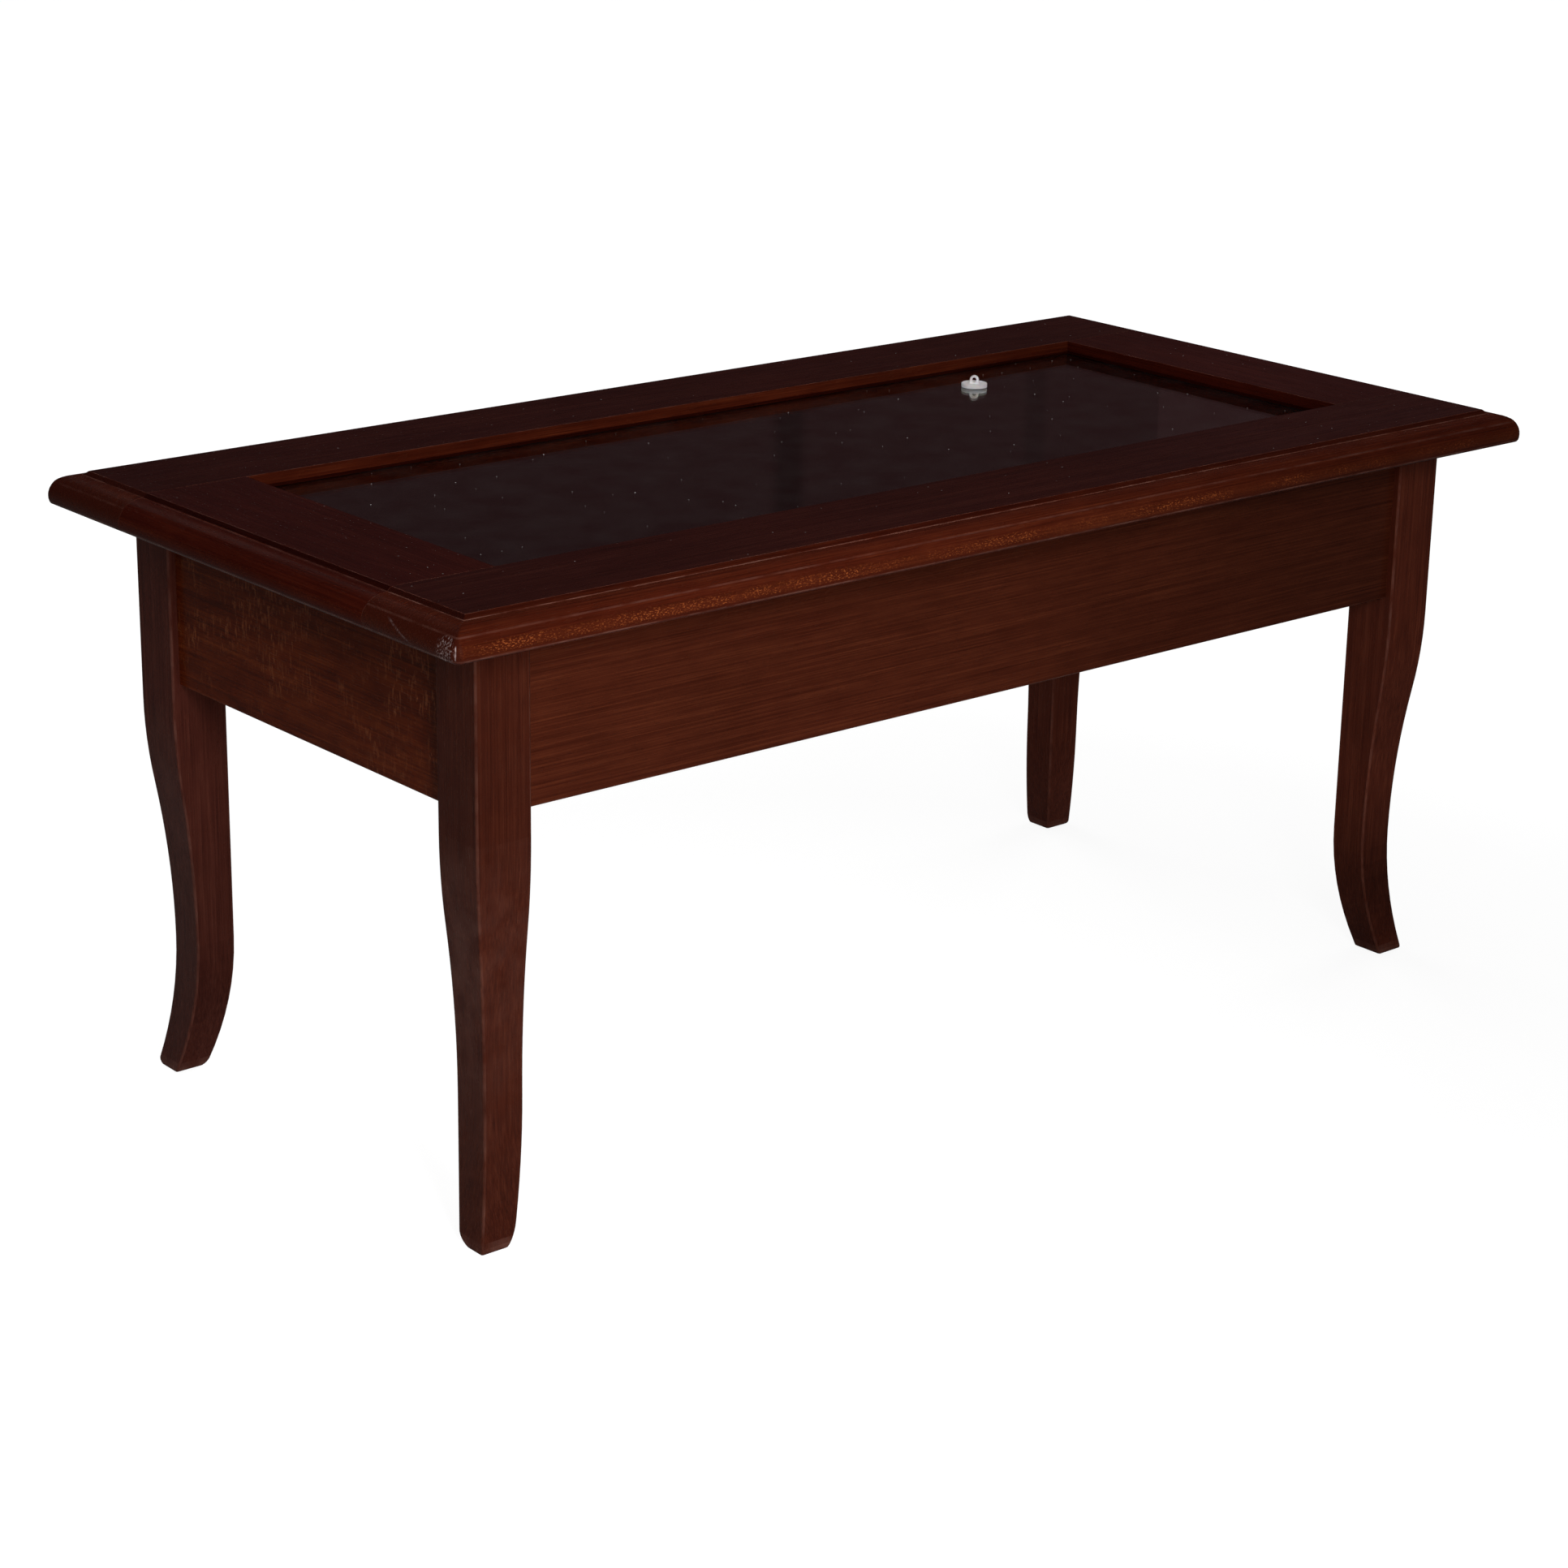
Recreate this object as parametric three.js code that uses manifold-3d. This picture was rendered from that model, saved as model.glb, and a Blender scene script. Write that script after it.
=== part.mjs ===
// Collectors display table: a low wooden table with a moulded frame top, a lift-out glass panel
// and a cloth-lined display compartment between the aprons. Millimetres, +Z up.
// Origin: bottom centre, on the floor. +X runs along the table, -Y is its front.

import * as THREE from "three";
import { mergeVertices } from "three/addons/utils/BufferGeometryUtils.js";
import Module from "manifold-3d";

const wasm = await Module();
wasm.setup();

// Whole table
const tableLength = 1000;
const tableWidth = 500;
const tableHeight = 445;

// Clearances
const fitGap = 0.3; // round a tenon in its mortise, a screw in its hole and a panel in its frame
const glueLine = 0.1; // between faces that are glued butt to butt
const cutOverrun = 6; // how far a cutting box runs past the face that it opens

// Top frame: two long rails run the full length and two end rails fit between them
const topThickness = 24;
const borderWidth = 79; // flat wood, from the moulding to the opening for the glass
const ledgeWidth = 10; // lip that carries the glass
const glassSetDown = 10; // from the top surface to the face of the glass
const frameTenonLength = 25;
const frameTenonThickness = 8;
const frameTenonMargin = 15; // shoulder on each side of the tenon

// Moulded edge, from the top surface outwards and down
const stepWidth = 3.6; // a small bevel, then a narrow flat
const stepDepth = 3;
const filletWidth = 0.9;
const ovoloWidth = 18.5;
const noseDepth = 5.6; // height of the lower round, from the underside to the nose
const noseTuck = 2.5; // how far the lower round draws back
const noseCornerRadius = 7; // sanded corners, seen from above
const sharpCornerRadius = 0.8;
const ovoloSteps = 12;
const noseSteps = 4;
const cornerSteps = 6;

// Legs: square posts, sawn to one curve on both outer faces and one on both inner faces
const legSetback = 45; // from the nose of the top to the outer faces of the post
const legPost = 43;
const kneeHeight = 282; // where the outer faces start to curve in
const ankleHeight = 101; // where the leg is slimmest
const kneeRunShare = 0.35; // part of the way from knee to ankle that bends outwards
const ankleInset = 11.8;
const footFlare = 12; // how far the outer faces come out again at the floor
const heelFlare = 16.8; // how far the inner faces follow them
const toeRadius = 3.5;
const legEasing = 1.5; // rounded long edges
const kneeRows = 6;
const shinRows = 9;
const footRows = 8;
const toeRows = 3;
const easingSteps = 2;

// Aprons, tenoned into the legs
const apronHeight = 122;
const apronThickness = 20;
const apronRecess = 6; // behind the outer faces of the legs
const apronEasing = 1.5;
const apronTenonThickness = 10;
const apronTenonMargin = 10; // above and below the tenon
const tenonWeb = 4; // wood left between the two mortises of a leg

// Battens, screwed to the inner faces of the aprons
const topBattenSize = 20;
const baseBattenSize = 18;
const baseBattenLift = 2; // above the lower edge of the apron

// Display compartment
const baseThickness = 6;
const clothThickness = 2;
const liningThickness = 9;

// Screws with countersunk heads
const screwRadius = 2;
const screwHeadRadius = 4;
const screwHeadDepth = 2.4;
const screwTipLength = 3;
const screwSides = 8;
const screwBite = 13; // length that holds in the second piece
const sideScrewShare = 0.75; // of half a batten, from its middle
const topScrewShare = 0.45;

// Glass and its lifter
const glassThickness = 5;
const glassGap = 1; // all round, inside the opening
const glassArris = 0.5;
const lifterFromEnd = 153; // from the right end of the opening
const lifterFromBack = 51; // from the back of the opening
const suckerRadius = 9.5;
const suckerThickness = 1;
const suckerRim = 0.4;
const suckerSlope = 1.6;
const studRadius = 2.2;
const studHeight = 1.2;
const capRadius = 10.2;
const capHeight = 3;
const capRim = 1.3; // width of the raised rim
const capDish = 0.8; // depth of the dished top
const capEasing = 0.4;
const loopHoleRadius = 1.45;
const loopWall = 2.35; // round the hole
const loopHoleLift = 0.95; // from the dish up to the hole
const loopThickness = 3;
const loopEasing = 0.6;
const loopSink = 0.6; // how deep its foot stands in the disc
const loopTurnDegrees = -60; // turned about the upright
const loopSteps = 8;
const discSides = 32;

// Worked out from the sizes above
const mouldingWidth = stepWidth + filletWidth + ovoloWidth;
const openingLength = tableLength - 2 * (mouldingWidth + borderWidth);
const openingWidth = tableWidth - 2 * (mouldingWidth + borderWidth);
const ovoloDepth = topThickness - stepDepth - noseDepth;
const legHeight = tableHeight - topThickness;
const apronBase = legHeight - apronHeight;
const apronDrawback = legSetback + apronRecess; // from the nose of the top to the apron
const legInside = legSetback + legPost; // from the nose of the top to the inner faces of the post
const tenonInset = apronRecess + (apronThickness - apronTenonThickness) / 2;
const apronTenonLength = legPost - tenonInset - apronTenonThickness - tenonWeb;
const ledgeHeight = topThickness - glassSetDown - glassThickness;
const baseBattenBottom = apronBase + baseBattenLift;
const boardBottom = baseBattenBottom + baseBattenSize;
const boardTop = boardBottom + baseThickness;
const glassBottom = legHeight + ledgeHeight;
const glassTop = glassBottom + glassThickness;

const stainedWood = { color: 0x46180c, roughness: 0.38, metalness: 0 };
const finishes = {
  topWood: new THREE.MeshStandardMaterial({ ...stainedWood, color: 0x37110c }),
  legWood: new THREE.MeshStandardMaterial({ ...stainedWood, color: 0x4a2016 }),
  apronWood: new THREE.MeshStandardMaterial(stainedWood),
  plainWood: new THREE.MeshStandardMaterial({ color: 0x8a6a48, roughness: 0.7, metalness: 0 }),
  board: new THREE.MeshStandardMaterial({ color: 0x6e5138, roughness: 0.8, metalness: 0 }),
  cloth: new THREE.MeshStandardMaterial({ color: 0x16151a, roughness: 0.95, metalness: 0 }),
  glass: new THREE.MeshStandardMaterial({
    color: 0xdfeee8, roughness: 0.04, metalness: 0, transparent: true, opacity: 0.25,
  }),
  rubber: new THREE.MeshStandardMaterial({ color: 0x3a3a3c, roughness: 0.6, metalness: 0 }),
  whitePlastic: new THREE.MeshStandardMaterial({ color: 0xe4e0dd, roughness: 0.4, metalness: 0 }),
  steel: new THREE.MeshStandardMaterial({ color: 0xb4b2aa, roughness: 0.35, metalness: 1 }),
};

// Solids

// A solid for cutting and joining, made from a closed geometry.
function toSolid(geometry) {
  const bare = geometry.clone();
  bare.deleteAttribute("normal");
  bare.deleteAttribute("uv");
  const merged = mergeVertices(bare);
  const vertProperties = Float32Array.from(merged.attributes.position.array);
  const triVerts = Uint32Array.from(merged.index.array);
  return new wasm.Manifold(new wasm.Mesh({ numProp: 3, vertProperties, triVerts }));
}

function toGeometry(solid) {
  const cut = solid.getMesh();
  const geometry = new THREE.BufferGeometry();
  geometry.setAttribute("position", new THREE.BufferAttribute(cut.vertProperties, 3));
  geometry.setIndex(new THREE.BufferAttribute(cut.triVerts, 1));
  geometry.computeVertexNormals();
  return geometry;
}

function subtractAll(geometry, cutters) {
  let solid = toSolid(geometry);
  for (const cutter of cutters) {
    solid = solid.subtract(toSolid(cutter));
  }
  return toGeometry(solid);
}

// A box between its lowest and highest corners.
function boxBetween(low, high) {
  const size = high.map((value, i) => value - low[i]);
  const geometry = new THREE.BoxGeometry(...size);
  return geometry.translate(...size.map((value, i) => low[i] + value / 2));
}

// A closed solid through level rings, lowest first, each anticlockwise seen from above.
function loft(rings) {
  const count = rings[0].length;
  const points = rings.flat();
  const faces = [];
  for (let row = 0; row < rings.length - 1; row++) {
    for (let i = 0; i < count; i++) {
      const next = (i + 1) % count;
      const below = row * count;
      const above = below + count;
      faces.push(below + i, below + next, above + next);
      faces.push(below + i, above + next, above + i);
    }
  }
  const last = (rings.length - 1) * count;
  for (let i = 1; i < count - 1; i++) {
    faces.push(0, i + 1, i);
    faces.push(last, last + i, last + i + 1);
  }
  const geometry = new THREE.BufferGeometry().setFromPoints(points);
  geometry.setIndex(faces);
  geometry.computeVertexNormals();
  return geometry;
}

// A level ring: a rectangle between two corners, with round corners.
function roundedRing(lowX, lowY, highX, highY, radius, steps, z) {
  const corners = [
    [highX - radius, highY - radius],
    [lowX + radius, highY - radius],
    [lowX + radius, lowY + radius],
    [highX - radius, lowY + radius],
  ];
  const ring = [];
  corners.forEach(([x, y], quarter) => {
    for (let i = 0; i <= steps; i++) {
      const angle = (quarter + i / steps) * (Math.PI / 2);
      ring.push(new THREE.Vector3(x + radius * Math.cos(angle), y + radius * Math.sin(angle), z));
    }
  });
  return ring;
}

// An outline drawn in inward distance and height, run along X and centred there.
function runAlong(outline, length, curveSegments) {
  const settings = { depth: length, bevelEnabled: false, curveSegments };
  const geometry = new THREE.ExtrudeGeometry(outline, settings);
  const inward = new THREE.Vector3(0, 1, 0);
  const up = new THREE.Vector3(0, 0, 1);
  const along = new THREE.Vector3(1, 0, 0);
  geometry.applyMatrix4(new THREE.Matrix4().makeBasis(inward, up, along));
  return geometry.translate(-length / 2, 0, 0);
}

function mesh(name, geometry, material) {
  const part = new THREE.Mesh(geometry, material);
  part.name = name;
  return part;
}

// Screws: the head lies at the origin, flush, and the point is down

function screwShape(length, grow) {
  const profile = [
    new THREE.Vector2(0, -length - grow),
    new THREE.Vector2(screwRadius + grow, -length + screwTipLength - grow),
    new THREE.Vector2(screwRadius + grow, -screwHeadDepth - grow),
    new THREE.Vector2(screwHeadRadius + grow, 0),
    new THREE.Vector2(0, 0),
  ];
  const geometry = new THREE.LatheGeometry(profile, screwSides);
  return geometry.rotateX(Math.PI / 2);
}

// A place has the centre of the screw's head and the turn that aims its point.
function placeScrew(geometry, place) {
  return geometry.applyMatrix4(place.aim).translate(...place.head);
}

// The hole runs on a little above the head, so that it opens the face.
function screwHole(place) {
  const bore = screwShape(place.length, fitGap);
  const mouthRadius = screwHeadRadius + fitGap;
  const mouth = new THREE.CylinderGeometry(mouthRadius, mouthRadius, cutOverrun, screwSides);
  mouth.rotateX(Math.PI / 2).translate(0, 0, cutOverrun / 2);
  const hole = toGeometry(toSolid(bore).add(toSolid(mouth)));
  return placeScrew(hole, place);
}

function screw(side, place) {
  const geometry = placeScrew(screwShape(place.length, 0), place);
  return mesh(place.kind + "_screw_" + side.name + "_" + place.end, geometry, finishes.steel);
}

// Sides: each is drawn with its outer face towards -Y and then turned

function makeSide(name, quarterTurns) {
  const isLong = quarterTurns % 2 === 0;
  const halfRun = (isLong ? tableLength : tableWidth) / 2;
  const reach = (isLong ? tableWidth : tableLength) / 2;
  const openingRun = (isLong ? openingLength : openingWidth) / 2;
  const openingReach = (isLong ? openingWidth : openingLength) / 2;
  const legRun = halfRun - legInside;
  const apronInner = -(reach - apronDrawback - apronThickness);
  const crossInner = halfRun - apronDrawback - apronThickness; // inner faces of the aprons at the ends
  const turned = { name, isLong, halfRun, reach, openingRun, openingReach, legRun, apronInner, crossInner };
  turned.group = new THREE.Group();
  turned.group.rotation.z = quarterTurns * (Math.PI / 2);
  return turned;
}

// The end battens stop at the long ones, or at the legs where these stand further in.
function battenRun(side, battenSize) {
  const free = side.isLong ? side.legRun : Math.min(side.legRun, side.crossInner - battenSize);
  return free - fitGap;
}

const screwEnds = [[-1, "a"], [1, "b"]];
const aimOutwards = new THREE.Matrix4().makeRotationX(-Math.PI / 2);
const aimUpwards = new THREE.Matrix4().makeRotationX(Math.PI);

// Through a batten into the apron behind it.
function battenScrews(side, kind, battenSize, bottom) {
  const run = battenRun(side, battenSize) * sideScrewShare;
  return screwEnds.map(([sign, end]) => ({
    kind,
    end,
    head: [sign * run, side.apronInner + battenSize, bottom + battenSize / 2],
    aim: aimOutwards,
    length: battenSize + screwBite,
  }));
}

function upperScrews(side) {
  return battenScrews(side, "upper", topBattenSize, legHeight - topBattenSize);
}

function lowerScrews(side) {
  return battenScrews(side, "lower", baseBattenSize, baseBattenBottom);
}

// Up through the top batten into the rail.
function railScrews(side) {
  const run = battenRun(side, topBattenSize) * topScrewShare;
  return screwEnds.map(([sign, end]) => ({
    kind: "rail",
    end,
    head: [sign * run, side.apronInner + topBattenSize / 2, legHeight - topBattenSize],
    aim: aimUpwards,
    length: topBattenSize + screwBite,
  }));
}

// Top frame

// The moulded edge as distances in from the nose and heights above the underside.
function mouldingRows() {
  const rows = [];
  for (let i = 0; i < noseSteps; i++) {
    const angle = (i / noseSteps) * (Math.PI / 2);
    rows.push([noseTuck * (1 - Math.sin(angle)), noseDepth * (1 - Math.cos(angle))]);
  }
  for (let i = 0; i <= ovoloSteps; i++) {
    const angle = (i / ovoloSteps) * (Math.PI / 2);
    rows.push([ovoloWidth * (1 - Math.cos(angle)), noseDepth + ovoloDepth * Math.sin(angle)]);
  }
  rows.push([ovoloWidth + filletWidth, noseDepth + ovoloDepth]);
  rows.push([mouldingWidth, topThickness]);
  return rows;
}

function mouldedSlab(side) {
  const rings = mouldingRows().map(([inset, height]) => {
    const x = side.halfRun - inset;
    const y = side.reach - inset;
    const radius = Math.max(sharpCornerRadius, noseCornerRadius - inset);
    return roundedRing(-x, -y, x, y, radius, cornerSteps, legHeight + height);
  });
  return loft(rings);
}

// The tenons of an end rail, one at each end, drawn in the end rail's own frame.
function frameTenon(side, sign, grow) {
  const inner = side.openingReach + frameTenonMargin;
  const outer = side.reach - mouldingWidth - frameTenonMargin;
  const middle = legHeight + topThickness / 2;
  const root = sign * (side.openingRun - cutOverrun);
  const tip = sign * (side.openingRun + frameTenonLength + grow);
  const low = [Math.min(root, tip), -outer - grow, middle - frameTenonThickness / 2 - grow];
  const high = [Math.max(root, tip), -inner + grow, middle + frameTenonThickness / 2 + grow];
  return boxBetween(low, high);
}

// The mortise for it in a long rail: the same box, seen from the long rail.
function frameMortise(side, sign) {
  const inner = side.openingRun + frameTenonMargin - fitGap;
  const outer = side.halfRun - mouldingWidth - frameTenonMargin + fitGap;
  const middle = legHeight + topThickness / 2;
  const depth = frameTenonLength + fitGap;
  const halfThickness = frameTenonThickness / 2 + fitGap;
  const low = [sign > 0 ? inner : -outer, -side.openingReach - depth, middle - halfThickness];
  const high = [sign > 0 ? outer : -inner, -side.openingReach + cutOverrun, middle + halfThickness];
  return boxBetween(low, high);
}

function topRail(side) {
  const slab = toSolid(mouldedSlab(side));
  const above = legHeight + topThickness + cutOverrun;
  const below = legHeight - cutOverrun;
  const run = side.isLong ? side.halfRun + cutOverrun : side.openingRun - glueLine;
  const bodyLow = [-run, -side.reach - cutOverrun, below];
  const bodyHigh = [run, -side.openingReach, above];
  let rail = slab.intersect(toSolid(boxBetween(bodyLow, bodyHigh)));
  const lipRun = side.isLong ? side.openingRun - ledgeWidth - glueLine : run;
  const lipLow = [-lipRun, -side.openingReach - cutOverrun, legHeight];
  const lipHigh = [lipRun, -side.openingReach + ledgeWidth, legHeight + ledgeHeight];
  rail = rail.add(toSolid(boxBetween(lipLow, lipHigh)));
  for (const sign of [-1, 1]) {
    if (side.isLong) {
      rail = rail.subtract(toSolid(frameMortise(side, sign)));
    } else {
      rail = rail.add(toSolid(frameTenon(side, sign, 0)));
    }
  }
  const bored = subtractAll(toGeometry(rail), railScrews(side).map(screwHole));
  return mesh("top_rail_" + side.name, bored, finishes.topWood);
}

// Aprons and battens

function apron(side) {
  const outline = new THREE.Shape();
  outline.moveTo(0, apronHeight);
  outline.lineTo(0, apronEasing);
  outline.absarc(apronEasing, apronEasing, apronEasing, Math.PI, Math.PI * 1.5, false);
  outline.lineTo(apronThickness - apronEasing, 0);
  outline.absarc(apronThickness - apronEasing, apronEasing, apronEasing, Math.PI * 1.5, Math.PI * 2, false);
  outline.lineTo(apronThickness, apronHeight);
  const body = runAlong(outline, 2 * (side.legRun - glueLine), easingSteps);
  body.translate(0, -(side.reach - apronDrawback), apronBase);
  const tenonFace = -(side.reach - legSetback - tenonInset);
  const tenonTip = side.legRun + apronTenonLength;
  const tenonLow = [-tenonTip, tenonFace, apronBase + apronTenonMargin];
  const tenonHigh = [tenonTip, tenonFace + apronTenonThickness, legHeight - apronTenonMargin];
  const joined = toSolid(body).add(toSolid(boxBetween(tenonLow, tenonHigh)));
  const places = [...upperScrews(side), ...lowerScrews(side)];
  const bored = subtractAll(toGeometry(joined), places.map(screwHole));
  return mesh("apron_" + side.name, bored, finishes.apronWood);
}

function batten(side, kind, size, bottom, places) {
  const run = battenRun(side, size);
  const body = boxBetween([-run, side.apronInner, bottom], [run, side.apronInner + size, bottom + size]);
  return mesh(kind + "_batten_" + side.name, subtractAll(body, places.map(screwHole)), finishes.plainWood);
}

// Lining boards: the long ones run past the ends of the short ones

function liningBoard(side) {
  const face = side.openingReach - ledgeWidth;
  const inside = side.openingRun - ledgeWidth;
  const run = side.isLong ? inside + liningThickness : inside - glueLine;
  const low = [-run, -face - liningThickness, boardTop];
  const high = [run, -face, legHeight];
  return mesh("lining_board_" + side.name, boxBetween(low, high), finishes.cloth);
}

// Legs: drawn from the outer corner of the post, which stands at the leg's own origin

const kneeEnd = kneeHeight - kneeRunShare * (kneeHeight - ankleHeight);
const shinSlope = (2 * ankleInset) / (kneeHeight - ankleHeight);

function outerInset(z) {
  if (z >= kneeHeight) {
    return 0;
  }
  if (z >= kneeEnd) {
    return (shinSlope * (kneeHeight - z) ** 2) / (2 * (kneeHeight - kneeEnd));
  }
  if (z >= ankleHeight) {
    return ankleInset - (shinSlope * (z - ankleHeight) ** 2) / (2 * (kneeEnd - ankleHeight));
  }
  const flared = ankleInset - footFlare * ((ankleHeight - z) / ankleHeight) ** 2;
  if (z >= toeRadius) {
    return flared;
  }
  return flared + toeRadius - Math.sqrt(toeRadius ** 2 - (toeRadius - z) ** 2);
}

function innerInset(z) {
  if (z >= ankleHeight) {
    return legPost;
  }
  return legPost - heelFlare * ((ankleHeight - z) / ankleHeight) ** 2;
}

// Heights at which the leg is drawn, closer where it bends.
function legLevels() {
  const levels = [];
  const spans = [
    [0, toeRadius, toeRows],
    [toeRadius, ankleHeight, footRows],
    [ankleHeight, kneeEnd, shinRows],
    [kneeEnd, kneeHeight, kneeRows],
  ];
  for (const [low, high, rows] of spans) {
    for (let i = 0; i < rows; i++) {
      levels.push(low + ((high - low) * i) / rows);
    }
  }
  return [...levels, kneeHeight, legHeight];
}

function legGeometry() {
  const rings = legLevels().map((z) => {
    const outer = outerInset(z);
    const inner = innerInset(z);
    return roundedRing(outer, outer, inner, inner, legEasing, easingSteps, z);
  });
  const tenonLow = apronBase + apronTenonMargin - fitGap;
  const tenonHigh = legHeight - apronTenonMargin + fitGap;
  const near = tenonInset - fitGap;
  const far = tenonInset + apronTenonThickness + fitGap;
  const depth = legPost - apronTenonLength - fitGap;
  const mouth = legPost + cutOverrun;
  const mortises = [
    boxBetween([depth, near, tenonLow], [mouth, far, tenonHigh]),
    boxBetween([near, depth, tenonLow], [far, mouth, tenonHigh]),
  ];
  return subtractAll(loft(rings), mortises);
}

function legs() {
  const geometry = legGeometry();
  const corners = [
    ["front_left", -1, -1],
    ["front_right", 1, -1],
    ["back_right", 1, 1],
    ["back_left", -1, 1],
  ];
  return corners.map(([name, xSign, ySign], quarterTurns) => {
    const leg = mesh("leg_" + name, geometry.clone(), finishes.legWood);
    const x = xSign * (tableLength / 2 - legSetback);
    const y = ySign * (tableWidth / 2 - legSetback);
    leg.position.set(x, y, 0);
    leg.rotation.z = quarterTurns * (Math.PI / 2);
    return leg;
  });
}

// Floor of the compartment

function baseBoard() {
  const x = tableLength / 2 - apronDrawback - apronThickness - fitGap;
  const y = tableWidth / 2 - apronDrawback - apronThickness - fitGap;
  const notchX = tableLength / 2 - legInside - fitGap;
  const notchY = tableWidth / 2 - legInside - fitGap;
  const outline = new THREE.Shape();
  const corners = [
    [notchX, -y], [notchX, -notchY], [x, -notchY], [x, notchY], [notchX, notchY], [notchX, y],
    [-notchX, y], [-notchX, notchY], [-x, notchY], [-x, -notchY], [-notchX, -notchY], [-notchX, -y],
  ];
  outline.setFromPoints(corners.map((corner) => new THREE.Vector2(...corner)));
  const body = new THREE.ExtrudeGeometry(outline, { depth: baseThickness, bevelEnabled: false });
  body.translate(0, 0, boardBottom);
  return mesh("base_board", body, finishes.board);
}

function clothFloor() {
  const x = openingLength / 2 - ledgeWidth - fitGap;
  const y = openingWidth / 2 - ledgeWidth - fitGap;
  const sheet = boxBetween([-x, -y, boardTop], [x, y, boardTop + clothThickness]);
  return mesh("cloth_floor", sheet, finishes.cloth);
}

// Glass and lifter

function glassPanel() {
  const x = openingLength / 2 - glassGap;
  const y = openingWidth / 2 - glassGap;
  const rows = [
    [glassArris, 0],
    [0, glassArris],
    [0, glassThickness - glassArris],
    [glassArris, glassThickness],
  ];
  const rings = rows.map(([inset, height]) =>
    roundedRing(-x + inset, -y + inset, x - inset, y - inset, sharpCornerRadius, 1, glassBottom + height));
  return mesh("glass_panel", loft(rings), finishes.glass);
}

function turnedDisc(profile) {
  const points = profile.map(([radius, height]) => new THREE.Vector2(radius, height));
  return new THREE.LatheGeometry(points, discSides).rotateX(Math.PI / 2);
}

function sucker() {
  const profile = [
    [0, 0],
    [suckerRadius, 0],
    [suckerRadius, suckerRim],
    [suckerRadius - suckerSlope, suckerThickness],
    [studRadius, suckerThickness],
    [studRadius, suckerThickness + studHeight],
    [0, suckerThickness + studHeight],
  ];
  return mesh("lifter_sucker", turnedDisc(profile), finishes.rubber);
}

function lifterCap() {
  const dish = capHeight - capDish;
  const disc = turnedDisc([
    [0, studHeight + fitGap],
    [studRadius + fitGap, studHeight + fitGap],
    [studRadius + fitGap, 0],
    [capRadius - capEasing, 0],
    [capRadius, capEasing],
    [capRadius, capHeight - capEasing],
    [capRadius - capEasing, capHeight],
    [capRadius - capRim, capHeight],
    [capRadius - capRim - capEasing, dish],
    [0, dish],
  ]);
  const half = loopHoleRadius + loopWall - loopEasing;
  const arch = new THREE.Shape();
  const foot = dish - loopSink + loopEasing;
  const spring = dish + loopHoleLift + loopHoleRadius;
  arch.moveTo(-half, foot);
  arch.lineTo(half, foot);
  arch.lineTo(half, spring);
  arch.absarc(0, spring, half, 0, Math.PI, false);
  const hole = new THREE.Path();
  hole.absarc(0, spring, loopHoleRadius + loopEasing, 0, Math.PI * 2, true);
  arch.holes.push(hole);
  const loop = new THREE.ExtrudeGeometry(arch, {
    depth: loopThickness - 2 * loopEasing,
    bevelEnabled: true,
    bevelThickness: loopEasing,
    bevelSize: loopEasing,
    bevelSegments: 2,
    curveSegments: loopSteps,
  });
  loop.translate(0, 0, -loopThickness / 2 + loopEasing);
  loop.rotateX(Math.PI / 2).rotateZ(loopTurnDegrees * (Math.PI / 180));
  return mesh("lifter_cap", toGeometry(toSolid(disc).add(toSolid(loop))), finishes.whitePlastic);
}

// Assembly

const table = new THREE.Group();

const sides = [
  makeSide("front", 0),
  makeSide("right", 1),
  makeSide("back", 2),
  makeSide("left", 3),
];

for (const side of sides) {
  const upper = upperScrews(side);
  const lower = lowerScrews(side);
  const rail = railScrews(side);
  side.group.add(topRail(side));
  side.group.add(apron(side));
  side.group.add(batten(side, "top", topBattenSize, legHeight - topBattenSize, [...upper, ...rail]));
  side.group.add(batten(side, "base", baseBattenSize, baseBattenBottom, lower));
  side.group.add(liningBoard(side));
  side.group.add(...[...upper, ...lower, ...rail].map((place) => screw(side, place)));
  table.add(side.group);
}

table.add(...legs());
table.add(baseBoard());
table.add(clothFloor());

const cover = new THREE.Group();
cover.add(glassPanel());
const lifter = new THREE.Group();
lifter.position.set(openingLength / 2 - lifterFromEnd, openingWidth / 2 - lifterFromBack, glassTop);
lifter.add(sucker());
const cap = lifterCap();
cap.position.z = suckerThickness;
lifter.add(cap);
cover.add(lifter);
table.add(cover);

export default table;
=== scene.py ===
import math

import bmesh
import bpy
from mathutils import Matrix, Vector, noise


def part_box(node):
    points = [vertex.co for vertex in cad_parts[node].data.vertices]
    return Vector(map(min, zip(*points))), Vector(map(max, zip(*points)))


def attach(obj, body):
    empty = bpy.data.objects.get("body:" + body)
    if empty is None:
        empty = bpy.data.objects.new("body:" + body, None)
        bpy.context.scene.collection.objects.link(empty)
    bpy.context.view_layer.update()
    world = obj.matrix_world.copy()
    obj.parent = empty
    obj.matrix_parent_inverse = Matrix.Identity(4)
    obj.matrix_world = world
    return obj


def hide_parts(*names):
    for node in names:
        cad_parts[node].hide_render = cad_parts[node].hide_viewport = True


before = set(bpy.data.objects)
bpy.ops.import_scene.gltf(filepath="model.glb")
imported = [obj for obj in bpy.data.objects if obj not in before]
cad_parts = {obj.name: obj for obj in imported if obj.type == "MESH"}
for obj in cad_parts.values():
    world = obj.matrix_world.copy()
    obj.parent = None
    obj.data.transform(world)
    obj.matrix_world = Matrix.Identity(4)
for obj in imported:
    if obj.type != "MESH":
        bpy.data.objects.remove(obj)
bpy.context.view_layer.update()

scene = bpy.context.scene
scene.view_settings.view_transform = "Standard"
mm = 0.001

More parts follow.
